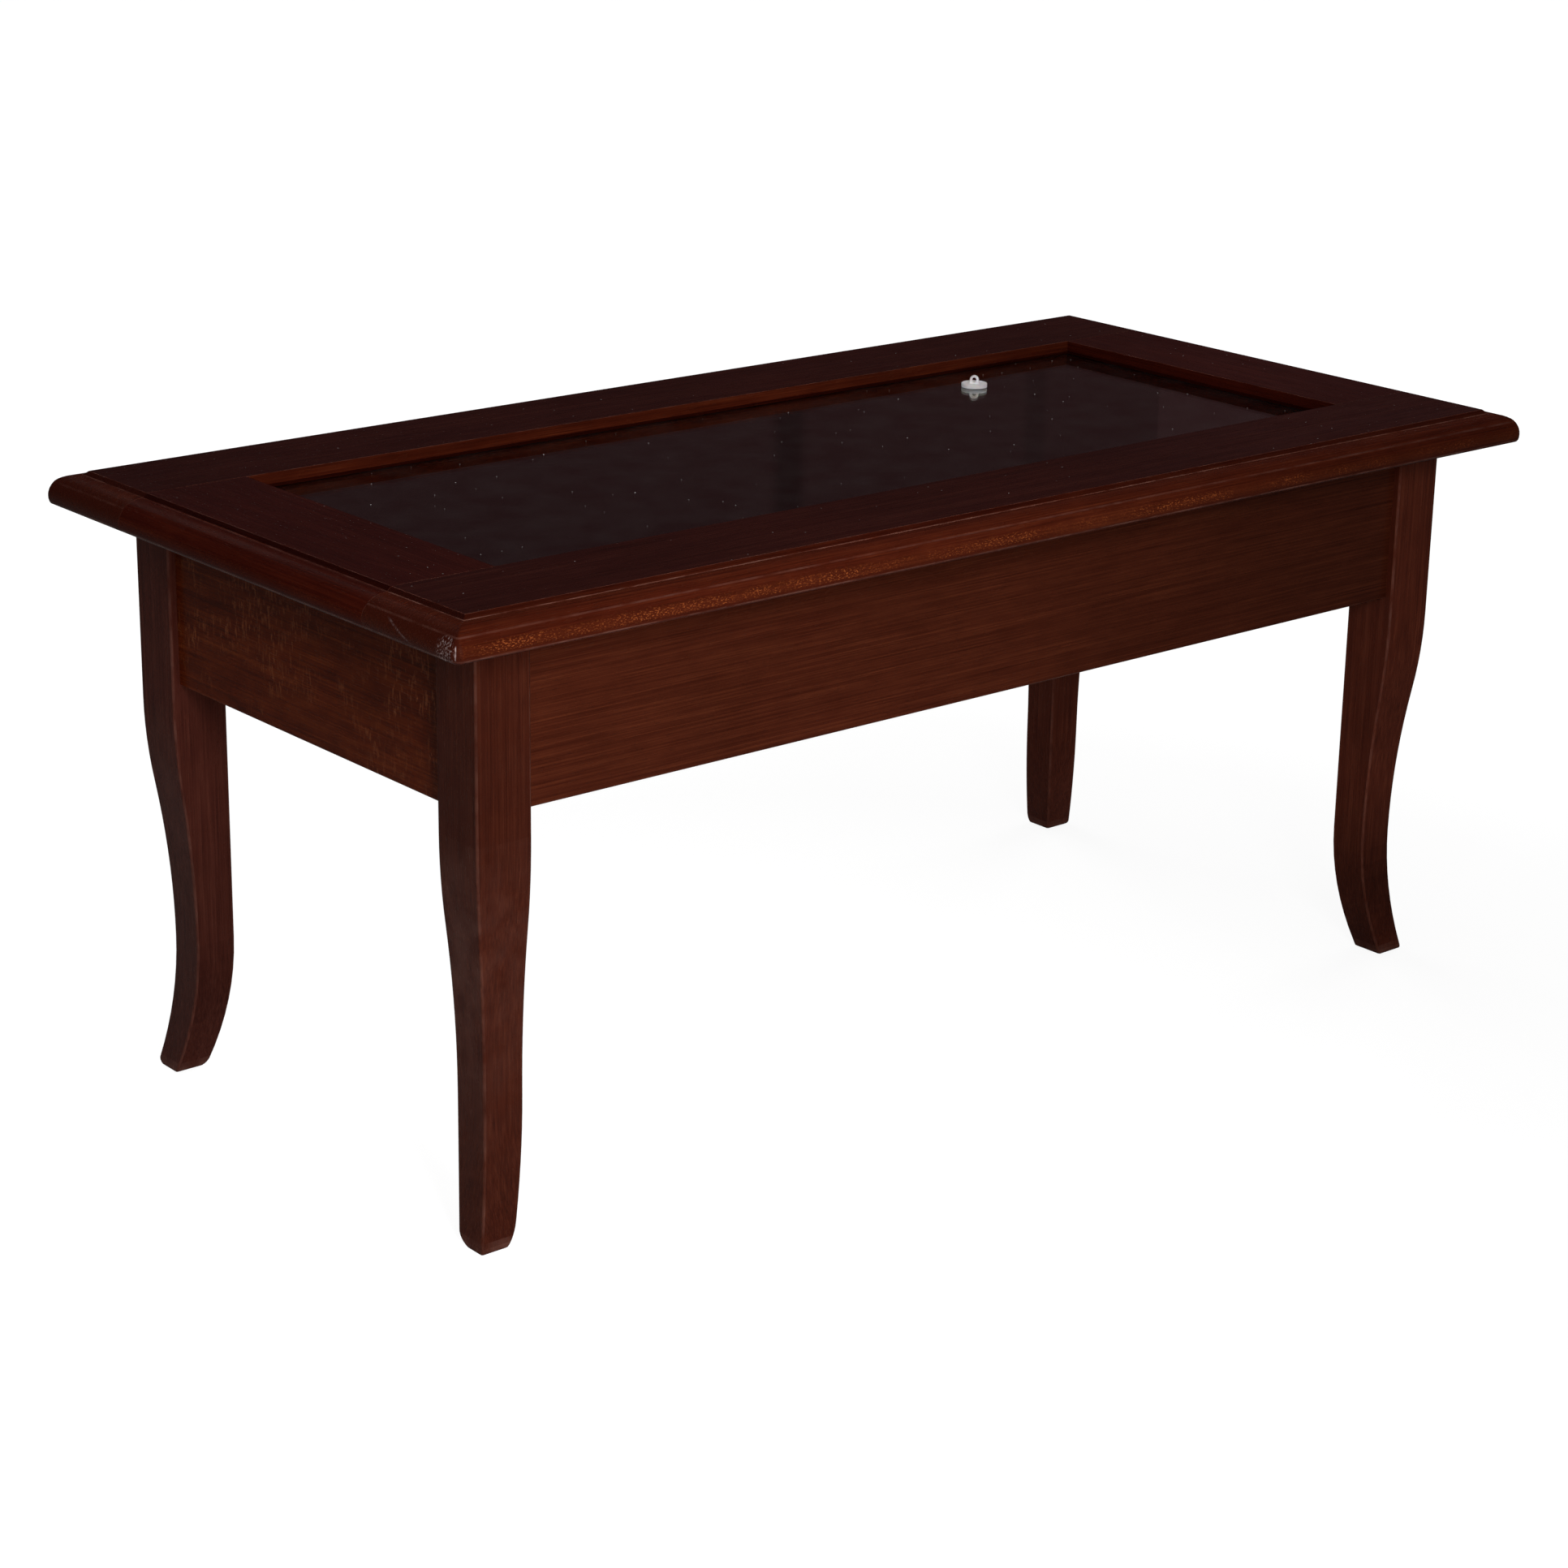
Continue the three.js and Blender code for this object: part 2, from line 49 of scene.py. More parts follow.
# Camera: stands as the photograph was taken, a little to the left of the front left corner

cameraLook = {
    "place": (-1.67595, -1.94178, 1.04274),
    "lookDown": 18.647,  # degrees
    "lookRight": 40.306,
    "tilt": 0.951,
    "focalPixels": 4403.8,
    "framePixels": 1932,
    "sensor": 36,
    "reach": 200,
}


def makeCamera(look):
    data = bpy.data.cameras.new("photo_camera")
    data.sensor_width = look["sensor"]
    data.lens = look["focalPixels"] / look["framePixels"] * look["sensor"]
    data.clip_end = look["reach"]
    camera = bpy.data.objects.new("photo_camera", data)
    scene.collection.objects.link(camera)
    turn = Matrix.Rotation(math.radians(-look["lookRight"]), 3, "Z")
    turn = turn @ Matrix.Rotation(math.radians(90 - look["lookDown"]), 3, "X")
    turn = turn @ Matrix.Rotation(math.radians(look["tilt"]), 3, "Z")
    camera.rotation_euler = turn.to_euler()
    camera.location = look["place"]
    scene.camera = camera


makeCamera(cameraLook)
print("camera ready")

# Helpers for materials. Lengths are in metres, and a noise's stretch is in repeats per metre.

noiseMiddle = 0.5
noiseSwing = (0.3, 0.7)  # nearly all of a noise's values lie between these


def feed(tree, node, feeds):
    for socket, value in feeds.items():
        if isinstance(value, bpy.types.NodeSocket):
            tree.links.new(value, node.inputs[socket])
        else:
            node.inputs[socket].default_value = value


def addNode(tree, kind, feeds=None, **settings):
    node = tree.nodes.new("ShaderNode" + kind)
    for name, value in settings.items():
        setattr(node, name, value)
    feed(tree, node, feeds or {})
    return node


def emptyTree(owner):
    owner.use_nodes = True
    owner.node_tree.nodes.clear()
    return owner.node_tree


def startMaterial(name, shaderValues):
    material = bpy.data.materials.new(name)
    tree = emptyTree(material)
    shader = addNode(tree, "BsdfPrincipled", shaderValues)
    addNode(tree, "OutputMaterial", {"Surface": shader.outputs["BSDF"]})
    return material, tree, shader


def objectPlace(tree, turn=(0, 0, 0), shift=(0, 0, 0)):
    coordinates = addNode(tree, "TexCoord")
    feeds = {"Vector": coordinates.outputs["Object"], "Rotation": turn, "Location": shift}
    return addNode(tree, "Mapping", feeds).outputs["Vector"]


def splitAxes(tree, place):
    return addNode(tree, "SeparateXYZ", {0: place}).outputs


def objectAxes(tree):
    return splitAxes(tree, addNode(tree, "TexCoord").outputs["Object"])


def noiseAt(tree, place, stretch, detail=3, roughness=0.55, distortion=0):
    scaled = addNode(tree, "VectorMath", {0: place, 1: stretch}, operation="MULTIPLY")
    feeds = {
        "Vector": scaled.outputs[0],
        "Scale": 1,
        "Detail": detail,
        "Roughness": roughness,
        "Distortion": distortion,
    }
    return addNode(tree, "TexNoise", feeds).outputs["Fac"]


def remap(tree, value, low, high, bottom=0, top=1, smooth=False):
    feeds = {"Value": value, "From Min": low, "From Max": high, "To Min": bottom, "To Max": top}
    kind = "SMOOTHSTEP" if smooth else "LINEAR"
    return addNode(tree, "MapRange", feeds, interpolation_type=kind).outputs["Result"]


# How much a noise named in a look shows: it sets in, and is full, at the look's two values
def noiseShare(tree, place, look, name, detail=3, roughness=0.55, shown=(0, 1), smooth=False):
    value = noiseAt(tree, place, look[name], detail, roughness)
    return remap(tree, value, *look[name + "From"], *shown, smooth)


def calculate(tree, operation, first, second=0):
    return addNode(tree, "Math", {0: first, 1: second}, operation=operation).outputs[0]


def add(tree, first, second):
    return calculate(tree, "ADD", first, second)


def subtract(tree, first, second):
    return calculate(tree, "SUBTRACT", first, second)


def multiply(tree, first, second):
    return calculate(tree, "MULTIPLY", first, second)


def distanceTo(tree, place, centre):
    feeds = {0: place, 1: centre}
    return addNode(tree, "VectorMath", feeds, operation="DISTANCE").outputs["Value"]


def mixColour(tree, factor, first, second, kind="MIX"):
    feeds = {0: factor}
    for socket, value in ((6, first), (7, second)):
        feeds[socket] = value if isinstance(value, bpy.types.NodeSocket) else (*value, 1)
    return addNode(tree, "Mix", feeds, data_type="RGBA", blend_type=kind).outputs[2]


def evenGrey(tree, level):
    return addNode(tree, "CombineColor", {0: level, 1: level, 2: level}).outputs[0]


def shadeColour(tree, colour, level):
    return mixColour(tree, 1, colour, evenGrey(tree, level), "MULTIPLY")


def colourRamp(tree, factor, places, colours):
    node = addNode(tree, "ValToRGB", {"Fac": factor})
    elements = node.color_ramp.elements
    while len(elements) < len(places):
        elements.new(0.5)
    for element, place, colour in zip(elements, places, colours):
        element.position = place
        element.color = (*colour, 1)
    return node.outputs["Color"]


def finishShader(tree, shader, colour, roughness, height, distance):
    bump = addNode(tree, "Bump", {"Height": height, "Distance": distance}).outputs["Normal"]
    feed(tree, shader, {"Base Color": colour, "Roughness": roughness, "Normal": bump})


def cornerValue(tree, name):
    return addNode(tree, "Attribute", attribute_name=name).outputs["Fac"]


# Specks of dust on level faces: Voronoi cells, most of them empty, seen from above
dustLook = {
    "cells": 60,  # per metre
    "share": 0.90,  # of the cells stay empty
    "radius": (0.014, 0.030),  # in cells
    "colour": (0.75, 0.74, 0.74),
}


def dustSpecks(tree):
    look = dustLook
    feeds = {"Vector": objectPlace(tree), "Scale": look["cells"]}
    cells = addNode(tree, "TexVoronoi", feeds, voronoi_dimensions="2D").outputs
    picks = addNode(tree, "SeparateColor", {0: cells["Color"]}).outputs
    chosen = calculate(tree, "GREATER_THAN", picks[0], look["share"])
    size = remap(tree, picks[1], 0, 1, *look["radius"])
    return multiply(tree, calculate(tree, "LESS_THAN", cells["Distance"], size), chosen)


# Stained beech under satin lacquer

grainTurns = {
    "x": (0, 0, 0),
    "y": (0, 0, math.radians(-90)),
    "z": (0, math.radians(90), 0),
}

stainLook = {
    # Colours
    "deep": (0.026, 0.0042, 0.0020),
    "middle": (0.060, 0.0118, 0.0052),
    "bright": (0.108, 0.0250, 0.0100),
    # The pale worn colour also serves for painted highlights, reflections and sheen
    "wearAndHighlight": (0.225, 0.105, 0.080),
    "endDark": (0.040, 0.0065, 0.0032),
    "fleck": (0.33, 0.080, 0.020),
    # Painted shade on the level top
    "paintedTopShade": (0.43, 0.53, 0.97),
    # Painted shade in corners and on the shaded sides
    "paintedShade": (0.30, 0.22, 0.26),
    "specularTint": (1.0, 0.62, 0.50, 1),
    "tones": (0.15, 0.5, 0.85),  # where the deep, middle and bright colours lie
    # Stretch of each noise, along the grain first
    "figure": (2.2, 26, 26),
    "streak": (7, 700, 700),
    "thread": (14, 1500, 1500),
    "blotch": (45, 110, 110),
    "cloud": (5, 7, 7),
    "dashes": (110, 900, 900),
    "flecks": (560, 1400, 1400),
    "fleckPatches": (14, 60, 60),
    "bandPatches": (22, 22, 22),
    "rubs": (60, 60, 60),
    "glossPatches": (22, 90, 90),
    "endCells": (1100, 1100, 1100),
    # Detail, roughness and distortion of the four noises that make the figure
    "layers": {
        "figure": (3, 0.5, 0.9),
        "streak": (2, 0.5, 0),
        "thread": (2, 0.5, 0),
        "blotch": (2, 0.5, 0),
    },
    # Values of a noise where it sets in and where it is full
    "dashesFrom": (0.36, 0.30),
    "flecksFrom": (0.55, 0.63),
    "fleckPatchesFrom": (0.45, 0.62),
    "bandPatchesFrom": (0.38, 0.56),
    "rubsFrom": (0.35, 0.65),
    # How much each of them shows
    "figureShown": 0.3,
    "streakShown": 0.65,
    "threadShown": 0.75,
    "blotchShown": 0.3,
    "dashesShown": 0.35,
    "flecksShown": 0.06,
    "bandShown": (0.15, 1),
    "rubsShown": (0.1, 0.8),
    "endShown": 0.85,
    "dustShown": 0.45,
    "cloudShade": (0.86, 1.14),
    "fleckBand": None,  # for the top's moulding: two heights, and how much more shows between them
    "paintedShadeByHeight": None,  # painted shade and light for aprons and legs: a height and the colour's share, then a higher one
    "bandFades": (1.5 * mm, 3 * mm),  # below and above the band
    "bandAlong": (0.0, 0.4, 1, 0.4),  # it fades towards +X
    "bandGlow": 0.25,
    "scuffed": False,
    # Gloss and relief
    "specular": 0.13,
    "gloss": (0.19, 0.31),
    "dashesDull": 0.15,
    "streakRise": 0.7,
    "threadRise": 0.3,
    "dashesSink": 0.4,
    "endRise": 2.5,
    "bump": 0.08 * mm,
}

# Pale marks at the front left corner of the top: open pores, a rubbed line on the corner that also
# stands in for a painted highlight there, a scratch
scuffLook = {
    "tone": (0.50, 0.38, 0.37),
    "patchAt": (-0.4995, -0.237, 0.4285),
    "patchRadius": (10 * mm, 6 * mm),
    "pores": (400, 1500, 560),
    "poresFrom": (0.58, 0.64),
    "poresShown": 0.8,
    "ragged": (900, 900, 500),
    "raggedFrom": (0.35, 0.6),
    "lineFade": 1.5 * mm,  # at both ends of a line
    "lineCore": 0.4,  # share of a line's half width that shows in full
    "cornerLine": -0.2514,  # x less y on that line
    "cornerHeight": (0.4235, 0.4330),
    "cornerHalfWidth": 0.8 * mm,
    "cornerReach": 20 * mm,
    "scratchFrom": (-0.2010, 0.4240),  # y and z
    "scratchTo": (-0.1740, 0.4350),
    "scratchHalfWidth": 1.0 * mm,
    "scratchShown": 0.16,
    "scratchLeftOf": -0.48,
}


def scuffMarks(tree):
    look = scuffLook
    raw = addNode(tree, "TexCoord").outputs["Object"]
    axes = splitAxes(tree, raw)
    ragged = noiseShare(tree, raw, look, "ragged", detail=2)
    away = distanceTo(tree, raw, look["patchAt"])
    pores = noiseShare(tree, raw, look, "pores", detail=1, shown=(0, look["poresShown"]))
    marks = multiply(tree, pores, remap(tree, away, *look["patchRadius"]))

    def lineAlong(offset, halfWidth, first, last, shown):
        core = look["lineCore"] * halfWidth
        line = remap(tree, calculate(tree, "ABSOLUTE", offset), halfWidth, core, 0, shown)
        line = multiply(tree, line, remap(tree, axes["Z"], first, first + look["lineFade"]))
        line = multiply(tree, line, remap(tree, axes["Z"], last, last - look["lineFade"]))
        return multiply(tree, line, ragged)

    # The line on the corner is rubbed finish and a painted highlight together
    cornerAway = subtract(tree, subtract(tree, axes["X"], axes["Y"]), look["cornerLine"])
    corner = lineAlong(cornerAway, look["cornerHalfWidth"], *look["cornerHeight"], 1)
    corner = multiply(tree, corner, calculate(tree, "LESS_THAN", away, look["cornerReach"]))
    (startY, startZ), (endY, endZ) = look["scratchFrom"], look["scratchTo"]
    slope = (endZ - startZ) / (endY - startY)
    onLine = multiply(tree, subtract(tree, axes["Y"], startY), slope)
    offset = subtract(tree, subtract(tree, axes["Z"], startZ), onLine)
    scratch = lineAlong(offset, look["scratchHalfWidth"], startZ, endZ, look["scratchShown"])
    onEnd = calculate(tree, "LESS_THAN", axes["X"], look["scratchLeftOf"])
    for mark in (corner, multiply(tree, scratch, onEnd)):
        marks = calculate(tree, "MAXIMUM", marks, mark)
    return marks


def woodFigure(tree, place, look):
    layers, tone = {}, noiseMiddle
    for layer, settings in look["layers"].items():
        layers[layer] = noiseAt(tree, place, look[layer], *settings)
        swing = subtract(tree, layers[layer], noiseMiddle)
        swing = multiply(tree, swing, look[layer + "Shown"])
        tone = add(tree, swing, tone)
    colours = (look["deep"], look["middle"], look["bright"])
    colour = colourRamp(tree, tone, look["tones"], colours)
    cloud = noiseAt(tree, place, look["cloud"], detail=2, roughness=0.5)
    shade = remap(tree, cloud, *noiseSwing, *look["cloudShade"])
    return shadeColour(tree, colour, shade), layers


def fleckBand(tree, place, look):
    low, high, amount = look["fleckBand"]
    axes = objectAxes(tree)
    fadeBelow, fadeAbove = look["bandFades"]
    below = remap(tree, axes["Z"], low, low + fadeBelow)
    above = remap(tree, axes["Z"], high + fadeAbove, high)
    band = multiply(tree, multiply(tree, below, above), amount)
    gaps = noiseShare(tree, place, look, "bandPatches", shown=look["bandShown"])
    return band, multiply(tree, gaps, remap(tree, axes["X"], *look["bandAlong"]))


def stainedWood(name, grain, shift, **changes):
    look = {**stainLook, **changes}
    material, tree, shader = startMaterial(name, {
        "Specular IOR Level": look["specular"],
        "Specular Tint": look["specularTint"],
    })
    place = objectPlace(tree, grainTurns[grain], shift)
    colour, layers = woodFigure(tree, place, look)

    # Dashes are short and dark, along the grain; flecks are pale and shorter
    dashes = noiseShare(tree, place, look, "dashes", detail=1, smooth=True)
    colour = mixColour(tree, multiply(tree, dashes, look["dashesShown"]), colour, look["deep"])
    flecks = noiseShare(tree, place, look, "flecks", detail=2, roughness=0.6, smooth=True)
    patches = noiseShare(tree, place, look, "fleckPatches", detail=2)
    shown = multiply(tree, patches, look["flecksShown"])
    if look["fleckBand"]:
        band, gaps = fleckBand(tree, place, look)
        shown = add(tree, shown, multiply(tree, band, gaps))
        colour = mixColour(tree, multiply(tree, band, look["bandGlow"]), colour, look["bright"])
    flecks = multiply(tree, flecks, shown)
    colour = mixColour(tree, flecks, colour, look["fleck"])

    # Sawn ends drink more stain. The level top gets painted shade, and so do the marked corners and
    # sides
    ends, levelTop = cornerValue(tree, "endGrain"), cornerValue(tree, "levelTop")
    colour = mixColour(tree, multiply(tree, ends, look["endShown"]), colour, look["endDark"])
    colour = mixColour(tree, levelTop, colour, look["paintedTopShade"], "MULTIPLY")
    colour = mixColour(tree, cornerValue(tree, "paintedShade"), colour, look["paintedShade"], "MULTIPLY")

    # Rounded edges lose some of it, and other marked places get painted highlights, reflections and
    # sheen in the same pale colour
    rubs = noiseShare(tree, place, look, "rubs", shown=look["rubsShown"])
    wearAndHighlight = multiply(tree, cornerValue(tree, "arris"), rubs)
    colour = mixColour(tree, wearAndHighlight, colour, look["wearAndHighlight"])
    # Painted shade by height: a shadow under the moulding on the aprons, light and shade along the
    # legs
    if look["paintedShadeByHeight"]:
        low, lowShare, high, highShare = look["paintedShadeByHeight"]
        shade = remap(tree, objectAxes(tree)["Z"], low, high, lowShare, highShare)
        colour = shadeColour(tree, colour, shade)
    else:
        dust = multiply(tree, multiply(tree, dustSpecks(tree), levelTop), look["dustShown"])
        colour = mixColour(tree, dust, colour, dustLook["colour"])
    if look["scuffed"]:
        colour = mixColour(tree, scuffMarks(tree), colour, scuffLook["tone"])
    gloss = remap(tree, noiseAt(tree, place, look["glossPatches"]), *noiseSwing, *look["gloss"])
    gloss = add(tree, gloss, multiply(tree, dashes, look["dashesDull"]))
    height = multiply(tree, layers["streak"], look["streakRise"])
    height = add(tree, height, multiply(tree, layers["thread"], look["threadRise"]))
    height = subtract(tree, height, multiply(tree, dashes, look["dashesSink"]))
    height = add(tree, height, flecks)
    cells = multiply(tree, noiseAt(tree, place, look["endCells"], detail=1), ends)
    height = add(tree, height, multiply(tree, cells, look["endRise"]))
    finishShader(tree, shader, colour, gloss, height, look["bump"])
    return material


# Copies of wooden nodes with softened edges, and marks for end grain, worn edges, painted
# highlights and painted shade

grainAxes = {"x": Vector((1, 0, 0)), "y": Vector((0, 1, 0)), "z": Vector((0, 0, 1))}
copyLook = {
    "weld": 0.01 * mm,
    "flat": 0.3,  # degrees between faces that count as one
    "endGrainFrom": 0.2,  # of the face's normal along the grain, and over how much more it sets in
    "endGrainOver": 0.4,
}


def openCopy(node):
    work = bmesh.new()
    work.from_mesh(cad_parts[node].data)
    bmesh.ops.remove_doubles(work, verts=work.verts, dist=copyLook["weld"])
    flat = math.radians(copyLook["flat"])
    bmesh.ops.dissolve_limit(work, angle_limit=flat, verts=work.verts, edges=work.edges)
    return work


def cutPlane(work, place, across, near):
    parts = [*work.verts, *work.edges, *work.faces]
    bmesh.ops.bisect_plane(work, geom=parts, plane_co=place, plane_no=across, dist=near)


def sharpEdges(work, degrees, isChosen):
    sharp = math.radians(degrees)
    return [e for e in work.edges if e.calc_face_angle(0) > sharp and isChosen(e)]


def soften(work, edges, width, segments=2):
    made = bmesh.ops.bevel(
        work, geom=edges, offset=width, offset_type="OFFSET", segments=segments, profile=0.5,
        affect="EDGES", clamp_overlap=False, material=-1,
    )
    return made["faces"]


def makePiece(work, name, finishes):
    data = bpy.data.meshes.new(name)
    work.to_mesh(data)
    work.free()
    if "custom_normal" in data.attributes:
        data.attributes.remove(data.attributes["custom_normal"])
    data.materials.clear()  # puts every face on the first material
    for finish in finishes:
        data.materials.append(finish)
    piece = bpy.data.objects.new(name, data)
    scene.collection.objects.link(piece)
    return piece


def closeCopy(work, name, finishes, body, nodes, sharpAngle=30):
    for face in work.faces:
        face.smooth = True
    for edge in work.edges:
        edge.smooth = edge.calc_face_angle(math.pi) < math.radians(sharpAngle)
    piece = makePiece(work, name, finishes)
    weighted = piece.modifiers.new("even_normals", "WEIGHTED_NORMAL")
    weighted.keep_sharp = True
    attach(piece, body)
    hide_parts(*nodes)


# marks(face) gives what the stain does there, as values from 0 to 1, and where painted highlights,
# reflections, sheen and shade go
def markCorners(work, grain, marks):
    names = ("arris", "paintedShade", "levelTop", "endGrain")
    layers = {name: work.loops.layers.float.new(name) for name in names}
    axis = grainAxes[grain]
    for face in work.faces:
        past = max(0, abs(face.normal.dot(axis)) - copyLook["endGrainFrom"])
        endGrain = min(1, past / copyLook["endGrainOver"])
        values = {"endGrain": endGrain, **marks(face)}
        for corner in face.loops:
            for name, value in values.items():
                corner[layers[name]] = value


def stainedPiece(work, node, slotName, side, grain, shift, marks, tone, sharpAngle=30):
    markCorners(work, grain, marks)
    material = stainedWood(slotName + "_" + side, grain, shift, **tone)
    closeCopy(work, node + "_wood", [material], "table", [node], sharpAngle)


# Top frame

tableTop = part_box("top_rail_front")[1].z
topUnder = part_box("top_rail_front")[0].z
halfLength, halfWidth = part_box("top_rail_front")[1].x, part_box("top_rail_back")[1].y
topLook = {
    "edge": 0.25 * mm,
    "sharpFrom": 30,  # degrees
    "mouldingFrom": 0.476,
    "fleckHeights": (3.5 * mm, 9 * mm),
    "stepDepth": 3 * mm,
    "stepInset": (18.6 * mm, 23.5 * mm),
    "noseInset": 5 * mm,
    "crownInset": 10 * mm,
    "wallInset": 95 * mm,
    "lineHeight": 0.45 * mm,  # of the pale line at the foot of the step, painted highlight and wear together
    "noseLine": (1.2 * mm, 2.3 * mm),  # painted reflection along the foot of the nose
    "crownLine": (15.3 * mm, 16.3 * mm),  # softer painted highlight along the quarter round
    "wallLine": 16.0 * mm,  # the opening's walls get painted shadow below this, where they meet the glass
    "wallDark": 0.95,
    "topWear": 0.45,
    "levelFrom": 0.999,  # of a face's normal, along Z
    "uprightTo": 0.1,
    "near": 0.05 * mm,
    "joint": 0.1 * mm,
    "cutNear": 0.001 * mm,
}


def topRail(side, grain, shift, stepLine, stepShade, noseReflection, crownHighlight, wallShade, band, tone):
    look = topLook
    node = "top_rail_" + side
    work = openCopy(node)

    def isTopEdge(edge):
        first, last = (vertex.co for vertex in edge.verts)
        middle = (first + last) / 2
        lowest = min(first.z, last.z)
        onJoint = abs(middle.x) > look["mouldingFrom"] and lowest > topUnder + look["joint"]
        return edge.is_convex and (lowest > tableTop - look["near"] or onJoint)

    rounded = set(soften(work, sharpEdges(work, look["sharpFrom"], isTopEdge), look["edge"]))
    stepFoot = tableTop - look["stepDepth"]
    lineTop = stepFoot + look["lineHeight"]
    noseLow, noseHigh = (topUnder + height for height in look["noseLine"])
    crownLow, crownHigh = (topUnder + height for height in look["crownLine"])
    wallDark = topUnder + look["wallLine"]
    for height in (lineTop, noseLow, noseHigh, crownLow, crownHigh, wallDark):
        cutPlane(work, (0, 0, height), (0, 0, 1), look["cutNear"])

    def marks(face):
        middle = face.calc_center_median()
        inset = min(halfLength - abs(middle.x), halfWidth - abs(middle.y))
        nearStep = look["stepInset"][0] < inset < look["stepInset"][1]
        if face in rounded:
            return {"arris": look["topWear"]}
        # A pale line at the step's foot, painted highlight and wear together; the step face above
        # it gets painted shade
        if nearStep and stepFoot - look["joint"] < middle.z < lineTop:
            return {"arris": stepLine}
        if nearStep and lineTop < middle.z < tableTop - look["joint"]:
            return {"paintedShade": stepShade}
        # A painted reflection along the nose's foot
        if inset < look["noseInset"] and noseLow < middle.z < noseHigh:
            return {"arris": noseReflection}
        # A painted highlight along the quarter round
        if inset < look["crownInset"] and crownLow < middle.z < crownHigh:
            return {"arris": crownHighlight}
        # Painted shadow on the opening's walls near the glass, and painted shade above it
        if inset > look["wallInset"] and abs(face.normal.z) < look["uprightTo"]:
            return {"paintedShade": look["wallDark"] if middle.z < wallDark else wallShade}
        # Level top faces get painted shade, and dust
        isTop = face.normal.z > look["levelFrom"] and middle.z > tableTop - look["near"]
        return {"levelTop": 1 if isTop else 0}

    low, high = (topUnder + height for height in look["fleckHeights"])
    finish = {"fleckBand": (low, high, band), "scuffed": side == "front", **tone}
    stainedPiece(work, node, "rail_wood", side, grain, shift, marks, finish)


longRail = {
    "grain": "x",
    "tone": {
        "deep": (0.028, 0.0040, 0.0016),
        "middle": (0.062, 0.0094, 0.0036),
        "bright": (0.108, 0.0215, 0.0074),
        "flecksShown": 0.02,
    },
}
endRail = {
    "grain": "y",
    "stepLine": 0.3,
    "noseReflection": 0.5,
    "tone": {
        "deep": (0.024, 0.0028, 0.0014),
        "middle": (0.044, 0.0048, 0.0020),
        "bright": (0.074, 0.0105, 0.0040),
        # painted shade on the end rails' level tops
        "paintedTopShade": (0.72, 0.92, 1.45),
        "flecksShown": 0.02,
    },
}
rails = {
    "front": {
        **longRail, "shift": (0.13, 0.31, 0.05), "stepLine": 0.75, "stepShade": 0.65,
        "noseReflection": 0.6, "crownHighlight": 0.3, "wallShade": 0, "band": 0.9,
    },
    "back": {
        **longRail, "shift": (1.37, 0.84, 0.12), "stepLine": 0.6, "stepShade": 0.45,
        "noseReflection": 0.5, "crownHighlight": 0.2, "wallShade": 0, "band": 0.4,
    },
    "left": {
        **endRail, "shift": (2.51, 0.27, 0.41), "stepShade": 0.9,
        "crownHighlight": 0, "wallShade": 0, "band": 0.1,
    },
    "right": {
        **endRail, "shift": (3.83, 0.66, 0.23), "stepShade": 0.5,
        "crownHighlight": 0.1, "wallShade": 0.25, "band": 0.25,
    },
}
for side, settings in rails.items():
    topRail(side, **settings)
print("top frame ready")

# Aprons

apronLook = {"arris": 0.5, "arrisFrom": 0.25}


def apron(side, grain, shift, tone):
    node = "apron_" + side
    work = openCopy(node)
    across = 1 if grain == "x" else 0

    def marks(face):
        isArris = min(abs(face.normal[across]), abs(face.normal.z)) > apronLook["arrisFrom"]
        return {"arris": apronLook["arris"] if isArris else 0}

    stainedPiece(work, node, "apron_wood", side, grain, shift, marks, tone)


longApronTone = {
    "streak": (5, 900, 900),
    "streakShown": 0.5,
    "figureShown": 0.15,
    "blotchShown": 0.2,
    "flecksShown": 0.02,
    # Painted shadow under the top's moulding, in a narrow band
    "paintedShadeByHeight": (topUnder - 10 * mm, 1, topUnder, 0.7),
}
endApronTone = {
    "deep": (0.034, 0.0050, 0.0018),
    "middle": (0.086, 0.0120, 0.0026),
    "bright": (0.150, 0.0290, 0.0064),
    "fleck": (0.260, 0.080, 0.030),
    "flecks": (560, 120, 120),
    "fleckPatches": (16, 22, 22),
    "flecksShown": 0.55,
    "cloud": (14, 20, 20),
    "blotchShown": 0.5,
    # Painted shadow under the top's moulding, deeper on the end aprons
    "paintedShadeByHeight": (topUnder - 60 * mm, 1, topUnder, 0.45),
}
apron("front", "x", (0.52, 0.11, 0.33), longApronTone)
apron("back", "x", (4.12, 0.58, 0.77), longApronTone)
apron("left", "y", (5.31, 0.94, 0.18), endApronTone)
apron("right", "y", (6.47, 0.22, 0.59), endApronTone)
print("aprons ready")

# Legs

legLook = {
    "toeRows": (0.4, 1.17, 2.33, 3.5, 5, 7, 9, 12, 15),  # heights in mm where a toe gets points
    "toeLine": (3.5 * mm, 5 * mm),  # rows above the frame's rounding, which give the leg's line
    "rowStep": 0.1 * mm,
    "rowNear": 0.02 * mm,
    "crisp": (0.6 * mm, 0.6 * mm),  # wear of a side that has none of its own
    "steep": 0.95,
    "bands": ((3.5 * mm, 0.45), (7 * mm, 0.25)),  # lighter along the floor
    "arris": 0.28,
    "arrisFrom": 0.3,
    "facing": 0.7,  # of a face's normal, to the side that it faces
    "sheenAt": 190 * mm,  # painted sheen on the legs is centred there
    "sheenWidth": 120 * mm,
    "shinAt": 55 * mm,  # painted shade on the front face is centred there
    "shinWidth": 35 * mm,
    "sharpAngle": 50,
}


def spanAlong(points, axis):
    places = [point[axis] for point in points]
    return min(places), max(places)


